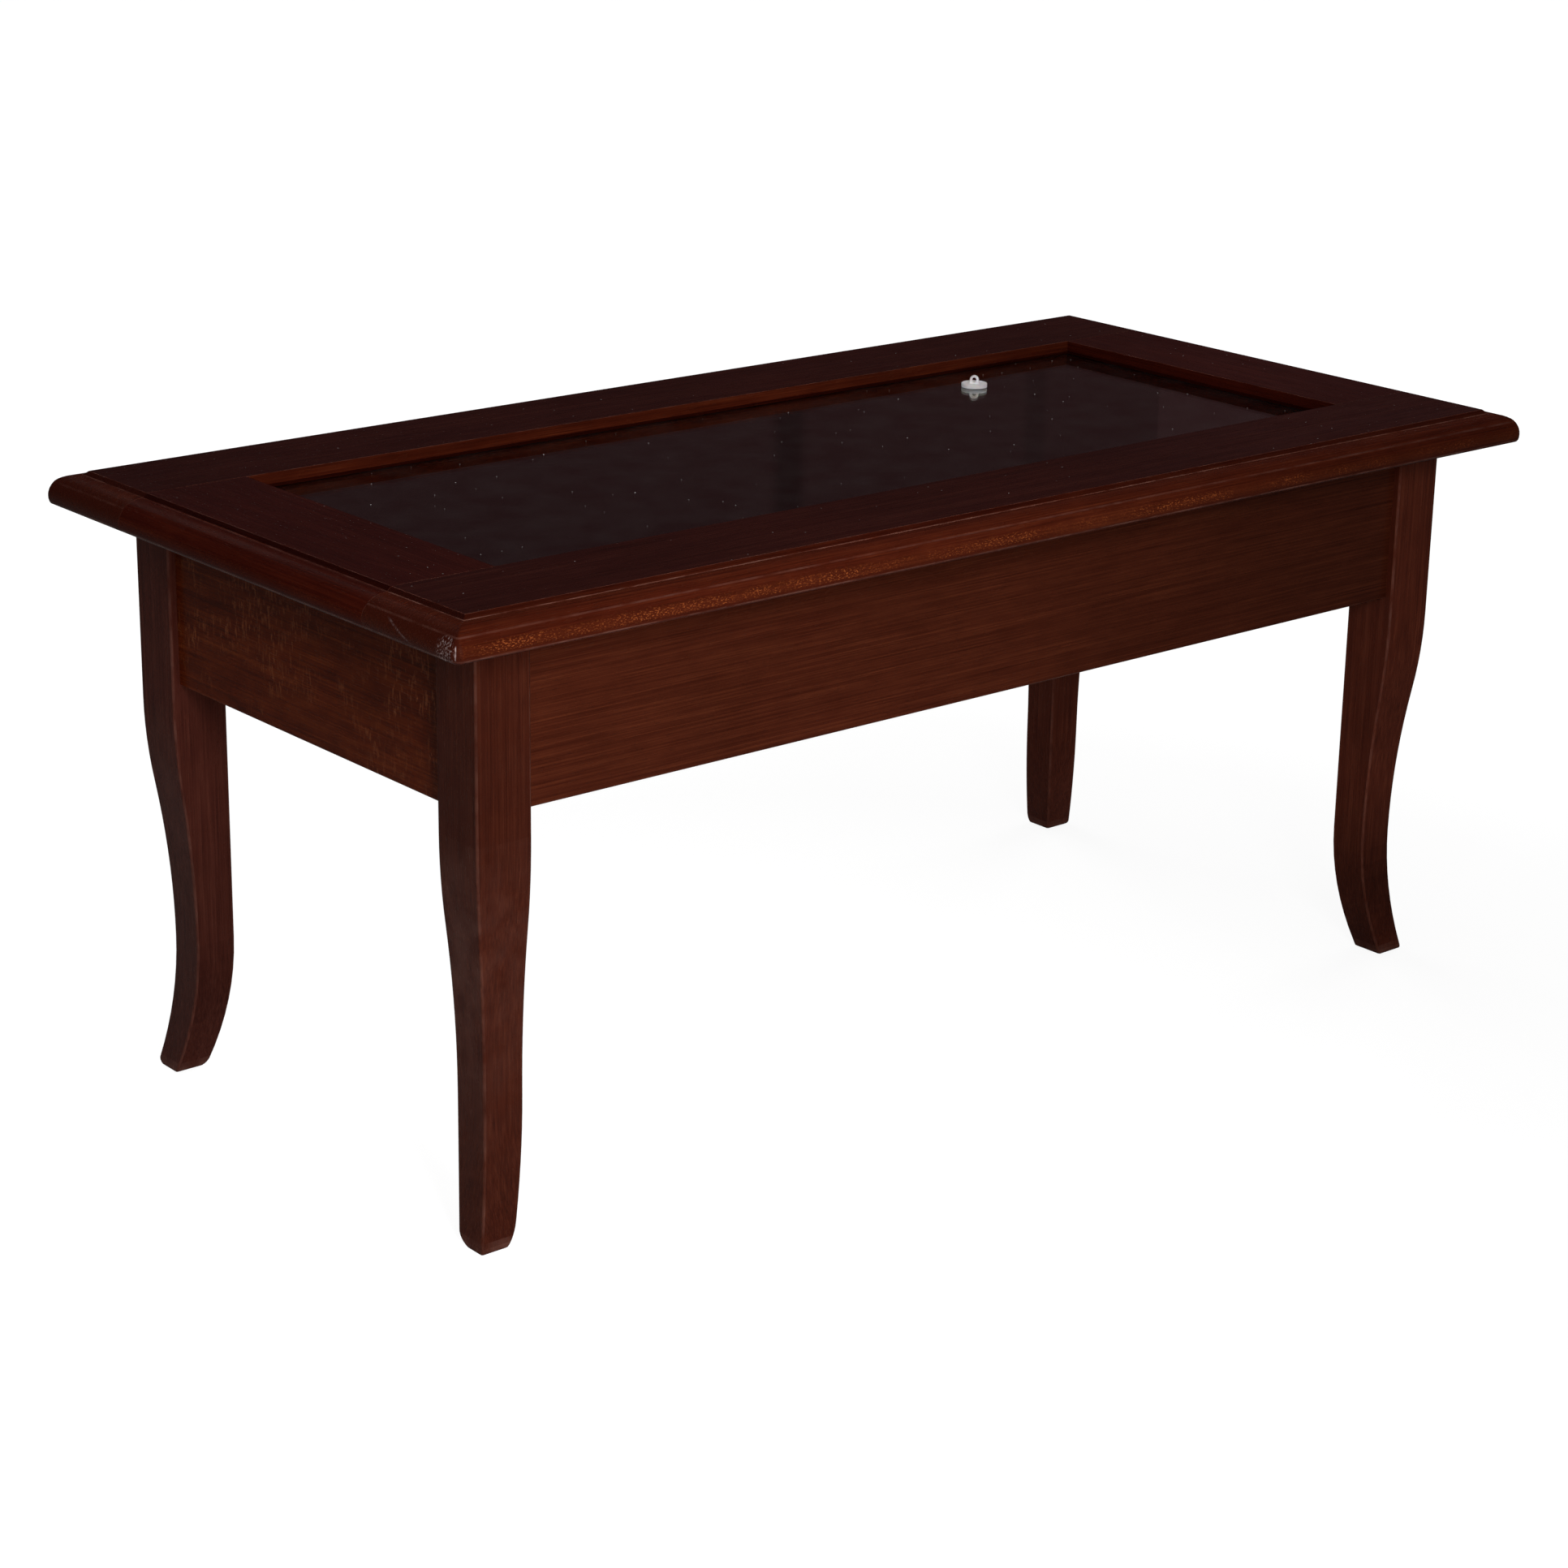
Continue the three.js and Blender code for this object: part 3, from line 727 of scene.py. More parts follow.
# wear says, for a side given as its axis and sign, how far the toe is rubbed back at the floor
# and from which height. Below the toe's line the frame's own even rounding is undone first.
def shapeToe(work, wear):
    look = legLook
    for height in look["toeRows"]:
        cutPlane(work, (0, 0, height * mm), (0, 0, 1), look["rowNear"])
    rows = {}
    for vertex in work.verts:
        if vertex.co.z < look["toeRows"][-1] * mm + look["rowStep"]:
            rows.setdefault(round(vertex.co.z / look["rowStep"]), []).append(vertex.co)
    full, above = (rows[round(height / look["rowStep"])] for height in look["toeLine"])
    for axis in (0, 1):
        fullLow, fullHigh = spanAlong(full, axis)
        aboveLow, aboveHigh = spanAlong(above, axis)
        for row in rows.values():
            height = row[0].z
            low, high = newLow, newHigh = spanAlong(row, axis)
            if height < full[0].z - look["rowStep"]:
                down = (full[0].z - height) / (above[0].z - full[0].z)
                newLow = fullLow + down * (fullLow - aboveLow)
                newHigh = fullHigh + down * (fullHigh - aboveHigh)
            newLow += toeWear(height, *wear.get((axis, -1), look["crisp"]))
            newHigh -= toeWear(height, *wear.get((axis, 1), look["crisp"]))
            for point in row:
                share = (point[axis] - low) / (high - low)
                point[axis] = newLow + share * (newHigh - newLow)


def toeWear(height, reach, tall):
    steep = legLook["steep"]
    drop = steep * max(0, tall - height) / tall
    return reach * (1 - math.sqrt(1 - drop ** 2)) / (1 - math.sqrt(1 - steep ** 2))


def bell(height, centre, width):
    return math.exp(-((height - centre) / width) ** 2)


def leg(corner, shift, wear, tone, paintedSheen=0, sidePaintedSheen=0, sideShade=0, shinShade=0):
    look = legLook
    node = "leg_" + corner
    work = openCopy(node)
    shapeToe(work, wear)

    def marks(face):
        height = face.calc_center_median().z
        if min(abs(face.normal.x), abs(face.normal.y)) > look["arrisFrom"]:
            return {"arris": look["arris"]}
        facesLeft, facesFront = (face.normal[axis] < -look["facing"] for axis in (0, 1))
        # Painted sheen along the legs, strongest at one height
        light = sidePaintedSheen if facesLeft else paintedSheen
        light *= bell(height, look["sheenAt"], look["sheenWidth"])
        for top, amount in look["bands"]:
            if height < top:
                light = max(light, amount)
        # Painted shade on the left faces, and on the front face at the shin
        paintedShade = sideShade if facesLeft else 0
        if facesFront:
            paintedShade = shinShade * bell(height, look["shinAt"], look["shinWidth"])
        return {"arris": light, "paintedShade": paintedShade}

    angle = look["sharpAngle"]
    stainedPiece(work, node, "leg_wood", corner, "z", shift, marks, tone, angle)


# Each leg's colours are scaled one by one: partly the wood's own tone, partly painted light and
# shade
def legTone(red, green, blue, heights):
    return {
        "deep": (0.030 * red, 0.0058 * green, 0.0034 * blue),
        "middle": (0.060 * red, 0.0126 * green, 0.0064 * blue),
        "bright": (0.098 * red, 0.0252 * green, 0.0128 * blue),
        "flecksShown": 0.02,
        "paintedShadeByHeight": heights,
    }


legs = {
    "front_left": {
        "shift": (0.21, 0.05, 0.44),
        "wear": {(0, 1): (5.5 * mm, 15 * mm), (1, 1): (12 * mm, 8 * mm)},
        "paintedSheen": 0.09, "sidePaintedSheen": 0.24, "shinShade": 0.08,
        "tone": legTone(0.84, 0.78, 0.76, (40 * mm, 0.85, 150 * mm, 1)),
    },
    "front_right": {
        "shift": (1.63, 0.38, 0.91),
        "wear": {(0, 1): (1.5 * mm, 2.5 * mm)},
        "sideShade": 0.3, "shinShade": 0.45,
        "tone": legTone(1.24, 1.15, 1.1, (60 * mm, 0.8, 150 * mm, 1.45)),
    },
    "back_right": {
        "shift": (2.94, 0.72, 0.15),
        "wear": {(0, 1): (3 * mm, 3 * mm), (1, 1): (3.5 * mm, 10 * mm)},
        "sideShade": 0.3,
        "tone": legTone(1.38, 1.35, 1.4, (60 * mm, 1, 360 * mm, 1)),
    },
    "back_left": {
        "shift": (4.28, 0.16, 0.63),
        "wear": {(0, 1): (4.8 * mm, 5.5 * mm), (1, 1): (8 * mm, 4.5 * mm)},
        "sidePaintedSheen": 0.10, "shinShade": 0.4,
        "tone": legTone(0.95, 1.02, 1.3, (60 * mm, 0.86, 300 * mm, 1.12)),
    },
}
for corner, settings in legs.items():
    leg(corner, **settings)
print("legs ready")

# Unfinished wood inside: battens and the base board

plainLook = {
    "edge": 0.6 * mm,
    "boardEdge": 0.4 * mm,
    "longEdge": 0.1,
    "sharpFrom": 60,  # degrees
    "specular": 0.3,
    "rings": (1.6, 55, 55),
    "ringLayer": (2, 0.5, 1.4),  # detail, roughness and distortion
    "ringCount": 9,
    "streak": (14, 700, 700),
    "ringShown": 0.5,
    "streakShown": 0.5,
    "tones": (0.15, 0.8),
    "dirt": (9, 12, 12),
    "dirtShade": (0.8, 1.08),
    "roughSwing": 0.08,
    "bump": 0.15 * mm,
}


def plainWood(name, grain, shift, deep, bright, roughness):
    look = plainLook
    material, tree, shader = startMaterial(name, {"Specular IOR Level": look["specular"]})
    place = objectPlace(tree, grainTurns[grain], shift)
    rings = noiseAt(tree, place, look["rings"], *look["ringLayer"])
    ringTone = calculate(tree, "PINGPONG", multiply(tree, rings, look["ringCount"]), 1)
    streak = noiseAt(tree, place, look["streak"], detail=4, roughness=0.6)
    tone = multiply(tree, ringTone, look["ringShown"])
    tone = add(tree, tone, multiply(tree, streak, look["streakShown"]))
    colour = colourRamp(tree, tone, look["tones"], (deep, bright))
    dirt = remap(tree, noiseAt(tree, place, look["dirt"]), *noiseSwing, *look["dirtShade"])
    swing = look["roughSwing"]
    gloss = remap(tree, streak, *noiseSwing, roughness - swing, roughness + swing)
    finishShader(tree, shader, shadeColour(tree, colour, dirt), gloss, streak, look["bump"])
    return material


def plainCopy(node, material, edgeWidth):
    work = openCopy(node)

    def isLong(edge):
        return edge.is_convex and edge.calc_length() > plainLook["longEdge"]

    soften(work, sharpEdges(work, plainLook["sharpFrom"], isLong), edgeWidth)
    closeCopy(work, node + "_sawn", [material], "table", [node])


# Deep and bright colours, and roughness
softwood = ((0.24, 0.125, 0.055), (0.42, 0.26, 0.135), 0.72)
plywood = ((0.16, 0.085, 0.04), (0.3, 0.17, 0.085), 0.66)
battenGrains = {"front": "x", "right": "y", "back": "x", "left": "y"}
for count, (side, grain) in enumerate(battenGrains.items()):
    for kind, lift in (("top", 0.4), ("base", 0.1)):
        node = kind + "_batten_" + side
        shift = (0.7 * count, 0.31 * count, lift)
        finish = plainWood("batten_wood_" + kind + "_" + side, grain, shift, *softwood)
        plainCopy(node, finish, plainLook["edge"])
boardFinish = plainWood("base_panel_wood", "x", (0.3, 0.2, 0.1), *plywood)
plainCopy("base_board", boardFinish, plainLook["boardEdge"])
print("inner wood ready")

# Dark cloth: a sheet on the floor of the compartment and the covering of the lining boards

clothLook = {
    "dark": (0.004, 0.0022, 0.0028),
    "light": (0.026, 0.015, 0.017),
    "tones": (0.30, 0.70),
    "thread": (70, 620, 620),
    "pitch": 1.1 * mm,
    "weaveShown": 0.3,
    "slubShown": 0.7,
    "roughness": 0.92,
    "shader": {"Specular IOR Level": 0.15, "Sheen Weight": 0.05, "Sheen Roughness": 0.5},
    "bump": 0.15 * mm,
    "dust": (900, 900, 900),
    "dustTone": (0.09, 0.08, 0.08),
    "dustFrom": (0.74, 0.79),
    "dustShown": 0.6,
    "thickness": 1.2 * mm,
    "wave": 0.35 * mm,
    "waveLength": 0.07,
    "cells": (150, 54),
    "boardEdge": 1.2 * mm,
    "sharpAngle": 60,
}


def wovenCloth(name, first, second):
    look = clothLook
    material, tree, shader = startMaterial(name, look["shader"])
    place = objectPlace(tree)
    axes = splitAxes(tree, place)
    turnsPerMetre = 2 * math.pi / look["pitch"]
    warp = calculate(tree, "SINE", multiply(tree, axes[first], turnsPerMetre))
    weft = calculate(tree, "SINE", multiply(tree, axes[second], turnsPerMetre))
    weave = remap(tree, multiply(tree, warp, weft), -1, 1)
    slub = noiseAt(tree, place, look["thread"], detail=2)
    tone = multiply(tree, weave, look["weaveShown"])
    tone = add(tree, tone, multiply(tree, slub, look["slubShown"]))
    colour = colourRamp(tree, tone, look["tones"], (look["dark"], look["light"]))
    dust = noiseShare(tree, place, look, "dust", detail=1)
    colour = mixColour(tree, multiply(tree, dust, look["dustShown"]), colour, look["dustTone"])
    height = add(tree, weave, slub)
    finishShader(tree, shader, colour, look["roughness"], height, look["bump"])
    return material


def clothFloor():
    look = clothLook
    low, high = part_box("cloth_floor")
    size = high - low
    work = bmesh.new()
    along, across = look["cells"]
    bmesh.ops.create_grid(work, x_segments=along, y_segments=across, size=0.5)
    bmesh.ops.scale(work, vec=(size.x, size.y, 1), verts=work.verts)
    for vertex in work.verts:
        vertex.co.z = look["wave"] * (noise.noise(vertex.co / look["waveLength"]) - 1)
    middle = (low + high) / 2
    bmesh.ops.translate(work, vec=(middle.x, middle.y, high.z), verts=work.verts)
    for face in work.faces:
        face.smooth = True
    piece = makePiece(work, "floor_cloth", [wovenCloth("lining_cloth_floor", "X", "Y")])
    solid = piece.modifiers.new("thickness", "SOLIDIFY")
    solid.thickness = look["thickness"]
    solid.offset = -1
    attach(piece, "table")
    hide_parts("cloth_floor")


clothFloor()
for side, along in (("front", "X"), ("right", "Y"), ("back", "X"), ("left", "Y")):
    node = "lining_board_" + side
    work = openCopy(node)
    soften(work, list(work.edges), clothLook["boardEdge"], segments=3)
    finish = wovenCloth("lined_board_cloth_" + side, along, "Z")
    angle = clothLook["sharpAngle"]
    closeCopy(work, node + "_covered", [finish], "table", [node], angle)
print("cloth ready")

# Glass panel: clear float glass with ground edges

glassLook = {
    "ior": 1.5,
    "tint": (0.90, 0.96, 0.94),
    "film": (30, 30, 30),
    "filmFrom": (0.35, 0.75),
    "filmShown": 0.010,
    "smooth": 0.01,
    "speckRough": 0.6,
    "edgeTint": (0.42, 0.62, 0.55),
    "edgePale": (0.6, 0.72, 0.68),
    "edgeClear": 0.3,
    "edgeRough": (0.35, 0.55),
    "grit": (1500, 1500, 1500),
    "gritDepth": 0.03 * mm,
    "arris": 0.8 * mm,
    "border": 1.2 * mm,  # frosted by the grinding of the edge
    "corner": 1.0 * mm,
    "clearArea": 0.1,  # only the two large faces are larger
    "levelFrom": 0.99,
    "rimFrom": 60,  # degrees
    "near": 0.01 * mm,
    "cutNear": 0.001 * mm,
    "sharpAngle": 20,
}


def clearGlass():
    look = glassLook
    material, tree, shader = startMaterial("clear_glass", {"IOR": look["ior"]})
    place = objectPlace(tree)
    speck = dustSpecks(tree)
    film = noiseShare(tree, place, look, "film", detail=4, shown=(0, look["filmShown"]))
    dull = calculate(tree, "MAXIMUM", speck, film)
    feed(tree, shader, {
        "Base Color": mixColour(tree, dull, look["tint"], dustLook["colour"]),
        "Transmission Weight": subtract(tree, 1, dull),
        "Roughness": add(tree, multiply(tree, speck, look["speckRough"]), look["smooth"]),
    })
    return material


def groundEdge():
    look = glassLook
    shaderValues = {"IOR": look["ior"], "Transmission Weight": look["edgeClear"]}
    material, tree, shader = startMaterial("ground_glass_edge", shaderValues)
    grit = noiseAt(tree, objectPlace(tree), look["grit"])
    colour = mixColour(tree, grit, look["edgeTint"], look["edgePale"])
    rough = remap(tree, grit, *noiseSwing, *look["edgeRough"])
    finishShader(tree, shader, colour, rough, grit, look["gritDepth"])
    return material


def glassPanel():
    look = glassLook
    low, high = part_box("glass_panel")
    size = high - low
    work = bmesh.new()
    bmesh.ops.create_cube(work, size=1)
    bmesh.ops.scale(work, vec=size, verts=work.verts)
    bmesh.ops.translate(work, vec=(low + high) / 2, verts=work.verts)

    def rise(edge):
        return abs(edge.verts[0].co.z - edge.verts[1].co.z)

    def isRim(edge):
        return rise(edge) < look["near"]

    soften(work, [e for e in work.edges if rise(e) > size.z / 2], look["corner"], segments=3)
    soften(work, sharpEdges(work, look["rimFrom"], isRim), look["arris"], segments=1)

    # Cuts that part the frosted border from the clear faces, so that those stay plain rectangles
    for axis in (0, 1):
        reach = high[axis] - look["arris"] - look["border"]
        for side in (-1, 1):
            place, across = Vector(), Vector()
            place[axis], across[axis] = side * reach, 1
            cutPlane(work, place, across, look["cutNear"])
    for face in work.faces:
        isLevel = abs(face.normal.z) > look["levelFrom"]
        isClear = isLevel and face.calc_area() > look["clearArea"]
        face.material_index = 0 if isClear else 1
    finishes = [clearGlass(), groundEdge()]
    nodes, angle = ["glass_panel"], look["sharpAngle"]
    closeCopy(work, "glass_sheet", finishes, "glass_cover", nodes, angle)


glassPanel()
print("glass ready")

# Lifter: a soft cup on the glass under a white cap with a pierced tab

lifterLook = {
    "sides": 72,
    "capEdge": 0.45 * mm,
    "discTop": 2.3 * mm,  # above the foot of the cap's node
    "skirt": -0.7 * mm,  # its lower rim, which hides the cup
    "skirtWall": 0.5 * mm,
    "plate": 0.1 * mm,
    "hollow": (2.6 * mm, 1.25 * mm),  # radius and height, for the cup's stud
    "rim": 1.3 * mm,
    "rimSlope": 0.3 * mm,
    "dish": 0.6 * mm,
    "tabRadius": 3.6 * mm,
    "holeRadius": 1.8 * mm,
    "tabThickness": 2.1 * mm,
    "tabEdge": 0.45 * mm,
    "tabSink": 0.4 * mm,  # how far the tab's foot lies below the dish
    "tabTurn": -60,  # degrees
    "tabSides": 40,
    "cupRim": 0.35 * mm,
    "cupSlope": 1.6 * mm,
    "cupPlate": 1 * mm,
    "stud": 2.2 * mm,
    "cupEdge": 0.12 * mm,
    # Two colours, roughness and subsurface weight of each material
    "rubber": ((0.16, 0.15, 0.15), (0.26, 0.25, 0.25), 0.4, 0.1),
    "plastic": ((0.88, 0.84, 0.845), (0.80, 0.76, 0.765), 0.34, 0.15),
    "cloud": (260, 260, 260),
    "cloudFrom": (0.4, 0.75),
    "grit": (2600, 2600, 2600),
    "gritDepth": 0.01 * mm,
    "glossSwing": (-0.05, 0.08),
    "scatter": 1.5 * mm,
    "ior": 1.49,
    "sharpFrom": 40,  # degrees
    "cupSharpFrom": 20,
    "tabSharpFrom": 60,
    "near": 0.01 * mm,
    "weld": 0.001 * mm,
}


def mouldedPlastic(name, colour, shade, roughness, subsurface):
    look = lifterLook
    material, tree, shader = startMaterial(name, {
        "Subsurface Weight": subsurface,
        "Subsurface Scale": look["scatter"],
        "IOR": look["ior"],
    })
    place = objectPlace(tree)
    cloud = noiseShare(tree, place, look, "cloud")
    grit = noiseAt(tree, place, look["grit"], detail=2)
    least, most = (roughness + change for change in look["glossSwing"])
    gloss = remap(tree, grit, *noiseSwing, least, most)
    colour = mixColour(tree, cloud, colour, shade)
    finishShader(tree, shader, colour, gloss, grit, look["gritDepth"])
    return material


# A profile goes from the axis out and back to it, as radius and height
def turnedPiece(work, profile, sides):
    points = [work.verts.new((radius, 0, height)) for radius, height in profile]
    edges = [work.edges.new(pair) for pair in zip(points, points[1:])]
    bmesh.ops.spin(work, geom=points + edges, axis=(0, 0, 1), cent=(0, 0, 0),
                   angle=2 * math.pi, steps=sides, use_merge=True)
    bmesh.ops.remove_doubles(work, verts=work.verts, dist=lifterLook["weld"])
    bmesh.ops.recalc_face_normals(work, faces=work.faces)


def ringEdges(work, sharpFrom):
    def isRing(edge):
        first, last = (vertex.co for vertex in edge.verts)
        level = abs(first.z - last.z) < lifterLook["weld"]
        return level and abs(first.xy.length - last.xy.length) < lifterLook["weld"]

    return sharpEdges(work, sharpFrom, isRing)


def moveToNode(work, low, high):
    middle = (low + high) / 2
    bmesh.ops.translate(work, vec=(middle.x, middle.y, low.z), verts=work.verts)


def sucker():
    look = lifterLook
    low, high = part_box("lifter_sucker")
    radius, top = (high.x - low.x) / 2, high.z - low.z
    plate, stud = look["cupPlate"], look["stud"]
    profile = [
        (0, 0), (radius, 0), (radius, look["cupRim"]), (radius - look["cupSlope"], plate),
        (stud, plate), (stud, top), (0, top),
    ]
    work = bmesh.new()
    turnedPiece(work, profile, look["sides"])
    soften(work, ringEdges(work, look["cupSharpFrom"]), look["cupEdge"])
    moveToNode(work, low, high)
    finish = mouldedPlastic("sucker_rubber", *look["rubber"])
    closeCopy(work, "sucker_cup", [finish], "glass_cover", ["lifter_sucker"])


# The tab: a ring whose lower half is drawn down to its foot. spring is the ring's centre.
def pierceTab(spring, foot):
    look = lifterLook
    tab = bmesh.new()
    segments = look["tabSides"]
    outer = bmesh.ops.create_circle(tab, segments=segments, radius=look["tabRadius"])["verts"]
    bmesh.ops.create_circle(tab, segments=segments, radius=look["holeRadius"])
    for vertex in outer:
        if vertex.co.y < -look["near"]:
            vertex.co.y = foot
    bmesh.ops.bridge_loops(tab, edges=tab.edges)
    grown = bmesh.ops.extrude_face_region(tab, geom=tab.faces)["geom"]
    moved = [v for v in grown if isinstance(v, bmesh.types.BMVert)]
    bmesh.ops.translate(tab, vec=(0, 0, look["tabThickness"]), verts=moved)
    bmesh.ops.recalc_face_normals(tab, faces=tab.faces)

    def isRim(edge):
        first, last = (vertex.co for vertex in edge.verts)
        isFoot = max(first.y, last.y) < foot + look["near"]
        return abs(first.z - last.z) < look["near"] and not isFoot

    soften(tab, sharpEdges(tab, look["tabSharpFrom"], isRim), look["tabEdge"], segments=4)
    stand = Matrix.Rotation(math.radians(look["tabTurn"]), 4, "Z")
    stand = stand @ Matrix.Rotation(math.radians(90), 4, "X")
    centred = Matrix.Translation((0, 0, -look["tabThickness"] / 2))
    shift = Matrix.Translation((0, 0, spring)) @ stand @ centred
    bmesh.ops.transform(tab, matrix=shift, verts=tab.verts)
    return tab


def cap():
    look = lifterLook
    low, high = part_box("lifter_cap")
    radius = (high.x - low.x) / 2
    discTop, skirt, plate = look["discTop"], look["skirt"], look["plate"]
    dish = discTop - look["dish"]
    hollow, depth = look["hollow"]
    inside, rim = radius - look["skirtWall"], radius - look["rim"]
    profile = [
        (0, depth), (hollow, depth), (hollow, plate), (inside, plate), (inside, skirt),
        (radius, skirt), (radius, discTop), (rim, discTop), (rim - look["rimSlope"], dish),
        (0, dish),
    ]
    work = bmesh.new()
    turnedPiece(work, profile, look["sides"])

    def isOutside(edge):
        first = edge.verts[0].co
        return first.z > plate + look["near"] and first.xy.length > hollow

    outside = [e for e in ringEdges(work, look["sharpFrom"]) if isOutside(e)]
    soften(work, outside, look["capEdge"], segments=4)
    spring = high.z - low.z - look["tabRadius"]
    tab = pierceTab(spring, dish - look["tabSink"] - spring)
    tabData = bpy.data.meshes.new("cap_tab")
    tab.to_mesh(tabData)
    tab.free()
    work.from_mesh(tabData)
    bpy.data.meshes.remove(tabData)
    moveToNode(work, low, high)
    finish = mouldedPlastic("lifter_plastic", *look["plastic"])
    closeCopy(work, "cap_with_tab", [finish], "glass_cover", ["lifter_cap"])


sucker()
cap()
print("lifter ready")

# Screws: plated steel, kept as the frame gives them

steelLook = {
    "stain": (500, 500, 500),
    "dull": (0.42, 0.38, 0.30),
    "bright": (0.62, 0.60, 0.56),
    "scratch": (3000, 300, 3000),
    "roughness": (0.26, 0.44),
    "bump": 0.01 * mm,
}


def platedSteel():
    look = steelLook
    material, tree, shader = startMaterial("screw_steel", {"Metallic": 1.0})
    place = objectPlace(tree)
    stain = noiseAt(tree, place, look["stain"], detail=4)
    scratch = noiseAt(tree, place, look["scratch"], detail=2)
    colour = colourRamp(tree, stain, noiseSwing, (look["dull"], look["bright"]))
    gloss = remap(tree, scratch, *noiseSwing, *look["roughness"])
    finishShader(tree, shader, colour, gloss, scratch, look["bump"])
    return material


screwSteel = platedSteel()
for node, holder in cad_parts.items():
    if "_screw_" in node:
        holder.data.materials.clear()
        holder.data.materials.append(screwSteel)
print("screws ready")

# Studio: pale floor, white backdrop that fades to a dim ceiling in reflections, soft lamps

studioLook = {
    "soft": (0.16, 0.16, 0.16),
    "backdrop": (1, 1, 1),
    "mirrored": 0.04,  # how much of the pale studio shows in gloss
    "ceiling": (0.037, 0.0165, 0.0175),
    "fadeFrom": 2,  # degrees above the horizon
    "fadeTo": 6,
    "wallFrom": 46.3,  # a paler wall stands to the right of this bearing, in degrees from +Y
    "wallLift": 1.35,
    "posts": ((40.3, 0.35, 0.35), (44.3, 0.25, 0.2)),  # dark uprights: bearing, half width, depth
    "postCore": 0.3,
    "floorSize": 40,
    "floorCells": 8,
    "floorDrop": 0.2 * mm,
    "floorGreys": (0.26, 0.08),  # near the front left leg, where it lights the feet, and away
    "greyCentre": (-0.5, -0.1, 0),
    "greyRadii": (0.3, 1.2),
    "floorSeen": (0.90, 1.0),  # under the table and away from it
    "seenRadii": (0.5, 1.1),
}
lampLook = {"aim": (0, 0, 0.3), "size": (1.4, 1.4), "spread": 180, "inGloss": False}
lamps = {
    "key": {
        "place": (-0.85, -1.7, 1.0), "aim": (-0.2, -0.2, 0.3), "size": (0.5, 0.9),
        "watts": 3.9, "spread": 66,
    },
    "overhead": {"place": (-0.35, -0.5, 2.6), "aim": (0, 0, 0.4), "size": (2.4, 1.6), "watts": 6},
    "rightFill": {"place": (2.6, 0.6, 0.8), "watts": 30},
    "backFill": {"place": (0.4, 2.7, 0.8), "size": (1.6, 1.4), "watts": 50},
    "leftFill": {"place": (-2.6, 0.1, 0.8), "watts": 5},
    "lowFill": {
        "place": (-0.8, -1.4, 0.2), "aim": (-0.48, -0.2, 0.1), "size": (0.6, 0.3),
        "watts": 0.75, "spread": 60,
    },
    "backStrip": {
        "place": (0.17, 2.48, 1.98), "aim": (-0.5, 0, 0.44), "size": (0.8, 0.4),
        "watts": 0.16, "inGloss": True,
    },
}


def seenByRays(tree):
    rays = addNode(tree, "LightPath").outputs
    seen = calculate(tree, "MAXIMUM", rays["Is Camera Ray"], rays["Is Transmission Ray"])
    mirrored = multiply(tree, rays["Is Glossy Ray"], studioLook["mirrored"])
    return rays, calculate(tree, "MAXIMUM", seen, mirrored)


def scaleColour(tree, colour, level):
    feeds = {0: colour, "Scale": level}
    return addNode(tree, "VectorMath", feeds, operation="SCALE").outputs[0]


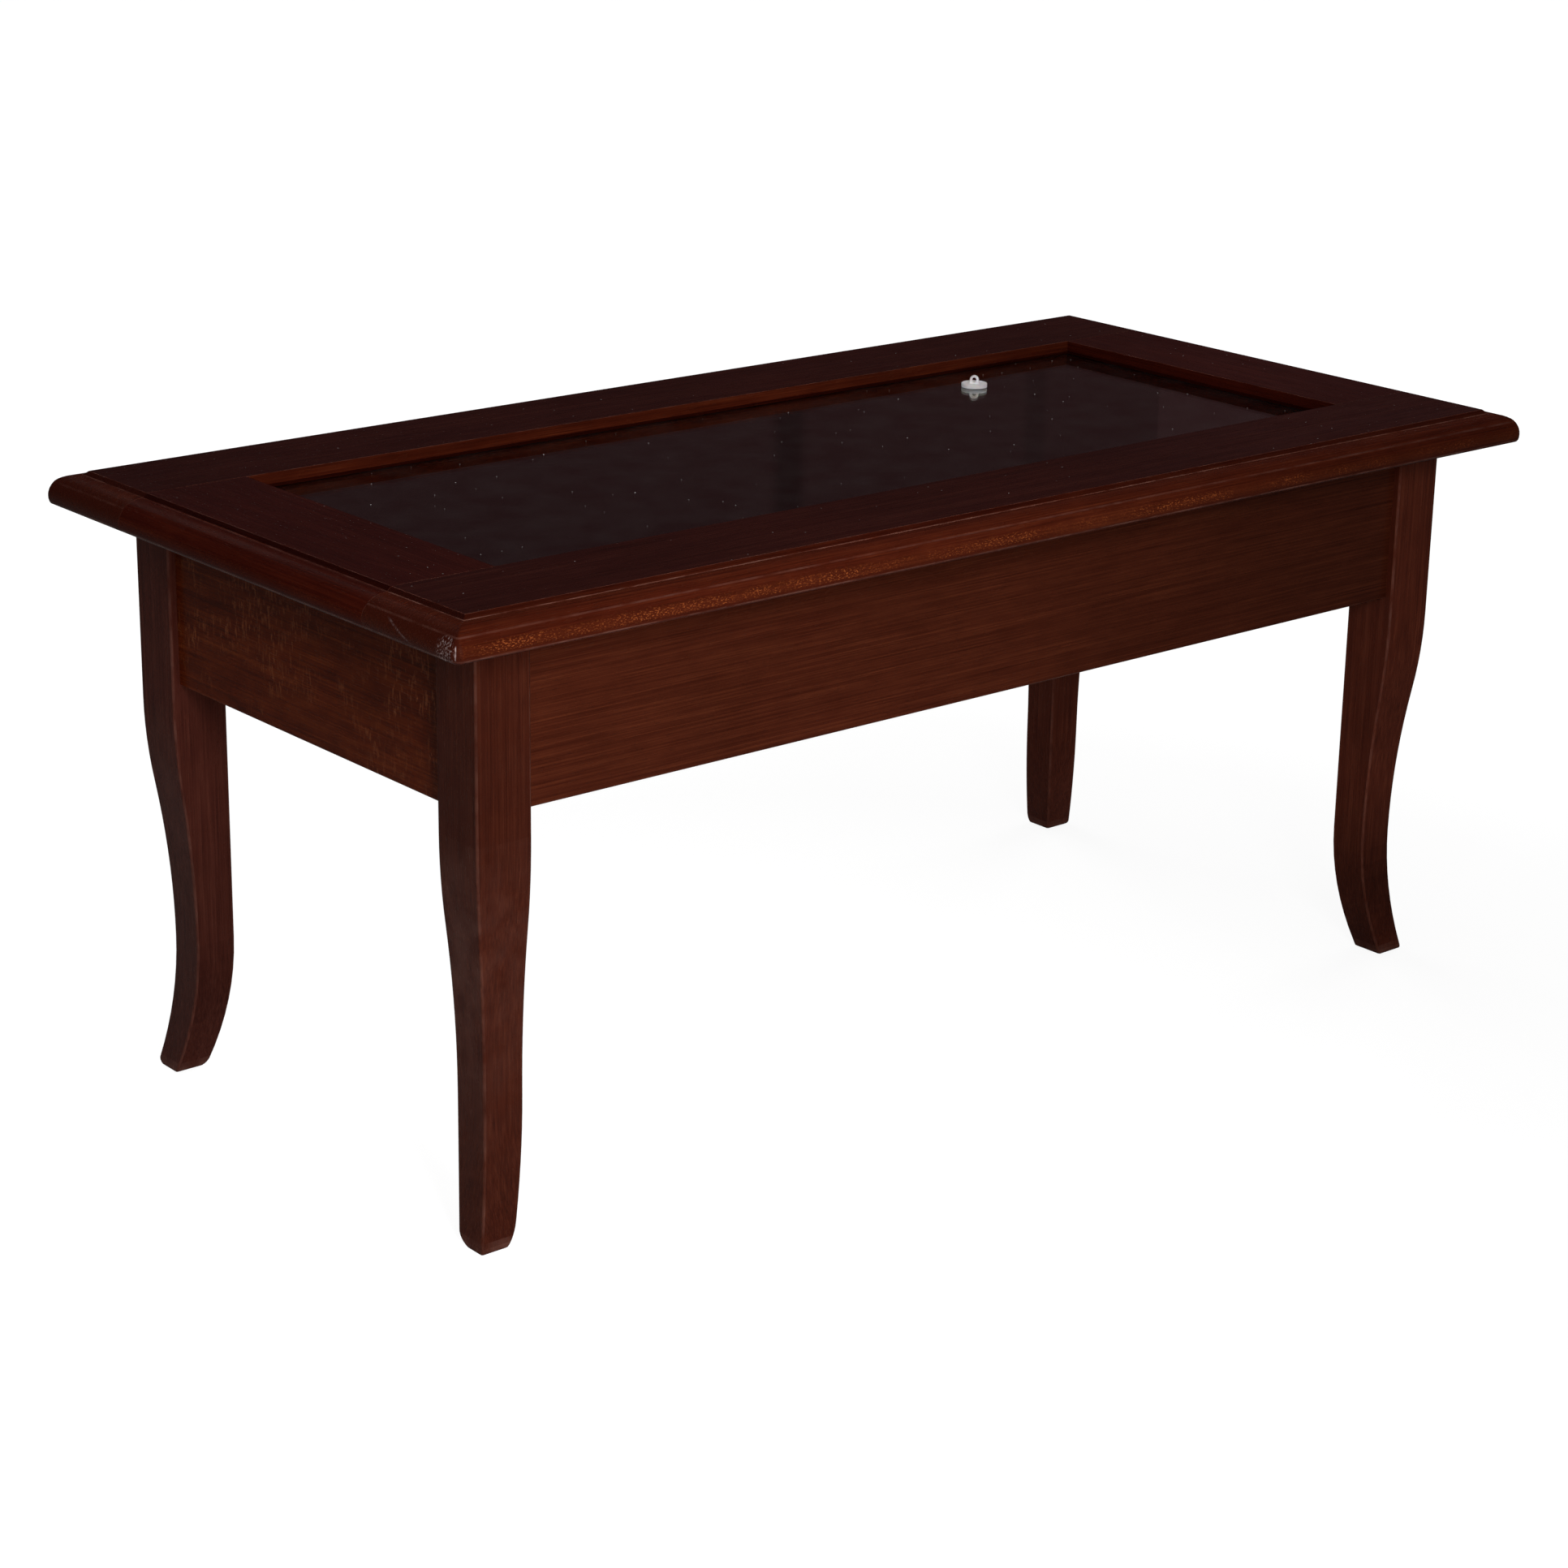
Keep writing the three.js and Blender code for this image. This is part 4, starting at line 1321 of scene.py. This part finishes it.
def studioWorld():
    look = studioLook
    scene.world = bpy.data.worlds.new("studio")
    tree = emptyTree(scene.world)
    rays, seen = seenByRays(tree)
    direction = splitAxes(tree, addNode(tree, "TexCoord").outputs["Generated"])
    low, high = (math.sin(math.radians(look[name])) for name in ("fadeFrom", "fadeTo"))
    above = remap(tree, direction["Z"], low, high, smooth=True)
    dimmed = multiply(tree, above, rays["Is Glossy Ray"])
    bearing = calculate(tree, "ARCTAN2", direction["X"], direction["Y"])
    onWall = calculate(tree, "GREATER_THAN", bearing, math.radians(look["wallFrom"]))
    lift = remap(tree, onWall, 0, 1, 1, look["wallLift"])
    for centre, halfSpan, dark in look["posts"]:
        away = calculate(tree, "ABSOLUTE", subtract(tree, bearing, math.radians(centre)))
        edge = math.radians(halfSpan)
        post = remap(tree, away, look["postCore"] * edge, edge, 1 - dark, 1, smooth=True)
        lift = multiply(tree, lift, post)
    pale = scaleColour(tree, look["backdrop"], seen)
    shown = mixColour(tree, dimmed, pale, scaleColour(tree, look["ceiling"], lift))
    isSeen = calculate(tree, "GREATER_THAN", seen, 0)
    colour = mixColour(tree, isSeen, look["soft"], shown)
    background = addNode(tree, "Background", {"Color": colour, "Strength": 1})
    addNode(tree, "OutputWorld", {"Surface": background.outputs[0]})


def studioFloor():
    look = studioLook
    work = bmesh.new()
    cells, reach = look["floorCells"], look["floorSize"] / 2
    bmesh.ops.create_grid(work, x_segments=cells, y_segments=cells, size=reach)
    bmesh.ops.translate(work, vec=(0, 0, -look["floorDrop"]), verts=work.verts)
    material = bpy.data.materials.new("studio_floor")
    tree = emptyTree(material)
    seen = seenByRays(tree)[1]
    place = objectPlace(tree)
    away = addNode(tree, "VectorMath", {0: place}, operation="LENGTH").outputs["Value"]
    strength = remap(tree, away, *look["seenRadii"], *look["floorSeen"])
    toFeet = distanceTo(tree, place, look["greyCentre"])
    grey = evenGrey(tree, remap(tree, toFeet, *look["greyRadii"], *look["floorGreys"]))
    matt = addNode(tree, "BsdfDiffuse", {"Color": grey})
    glow = addNode(tree, "Emission", {"Strength": multiply(tree, seen, strength)})
    both = addNode(tree, "AddShader", {0: matt.outputs[0], 1: glow.outputs[0]})
    addNode(tree, "OutputMaterial", {"Surface": both.outputs[0]})
    floor = makePiece(work, "studio_floor", [material])


def studioLamp(name, look):
    data = bpy.data.lights.new(name, "AREA")
    data.shape = "RECTANGLE"
    data.size, data.size_y = look["size"]
    data.energy = look["watts"]
    data.spread = math.radians(look["spread"])
    lamp = bpy.data.objects.new(name, data)
    lamp.location = look["place"]
    aim = Vector(look["aim"]) - lamp.location
    lamp.rotation_euler = aim.to_track_quat("-Z", "Y").to_euler()
    lamp.visible_camera = False
    lamp.visible_glossy = lamp.visible_transmission = look["inGloss"]
    scene.collection.objects.link(lamp)


studioWorld()
studioFloor()
for name, look in lamps.items():
    studioLamp(name, {**lampLook, **look})
print("studio ready")
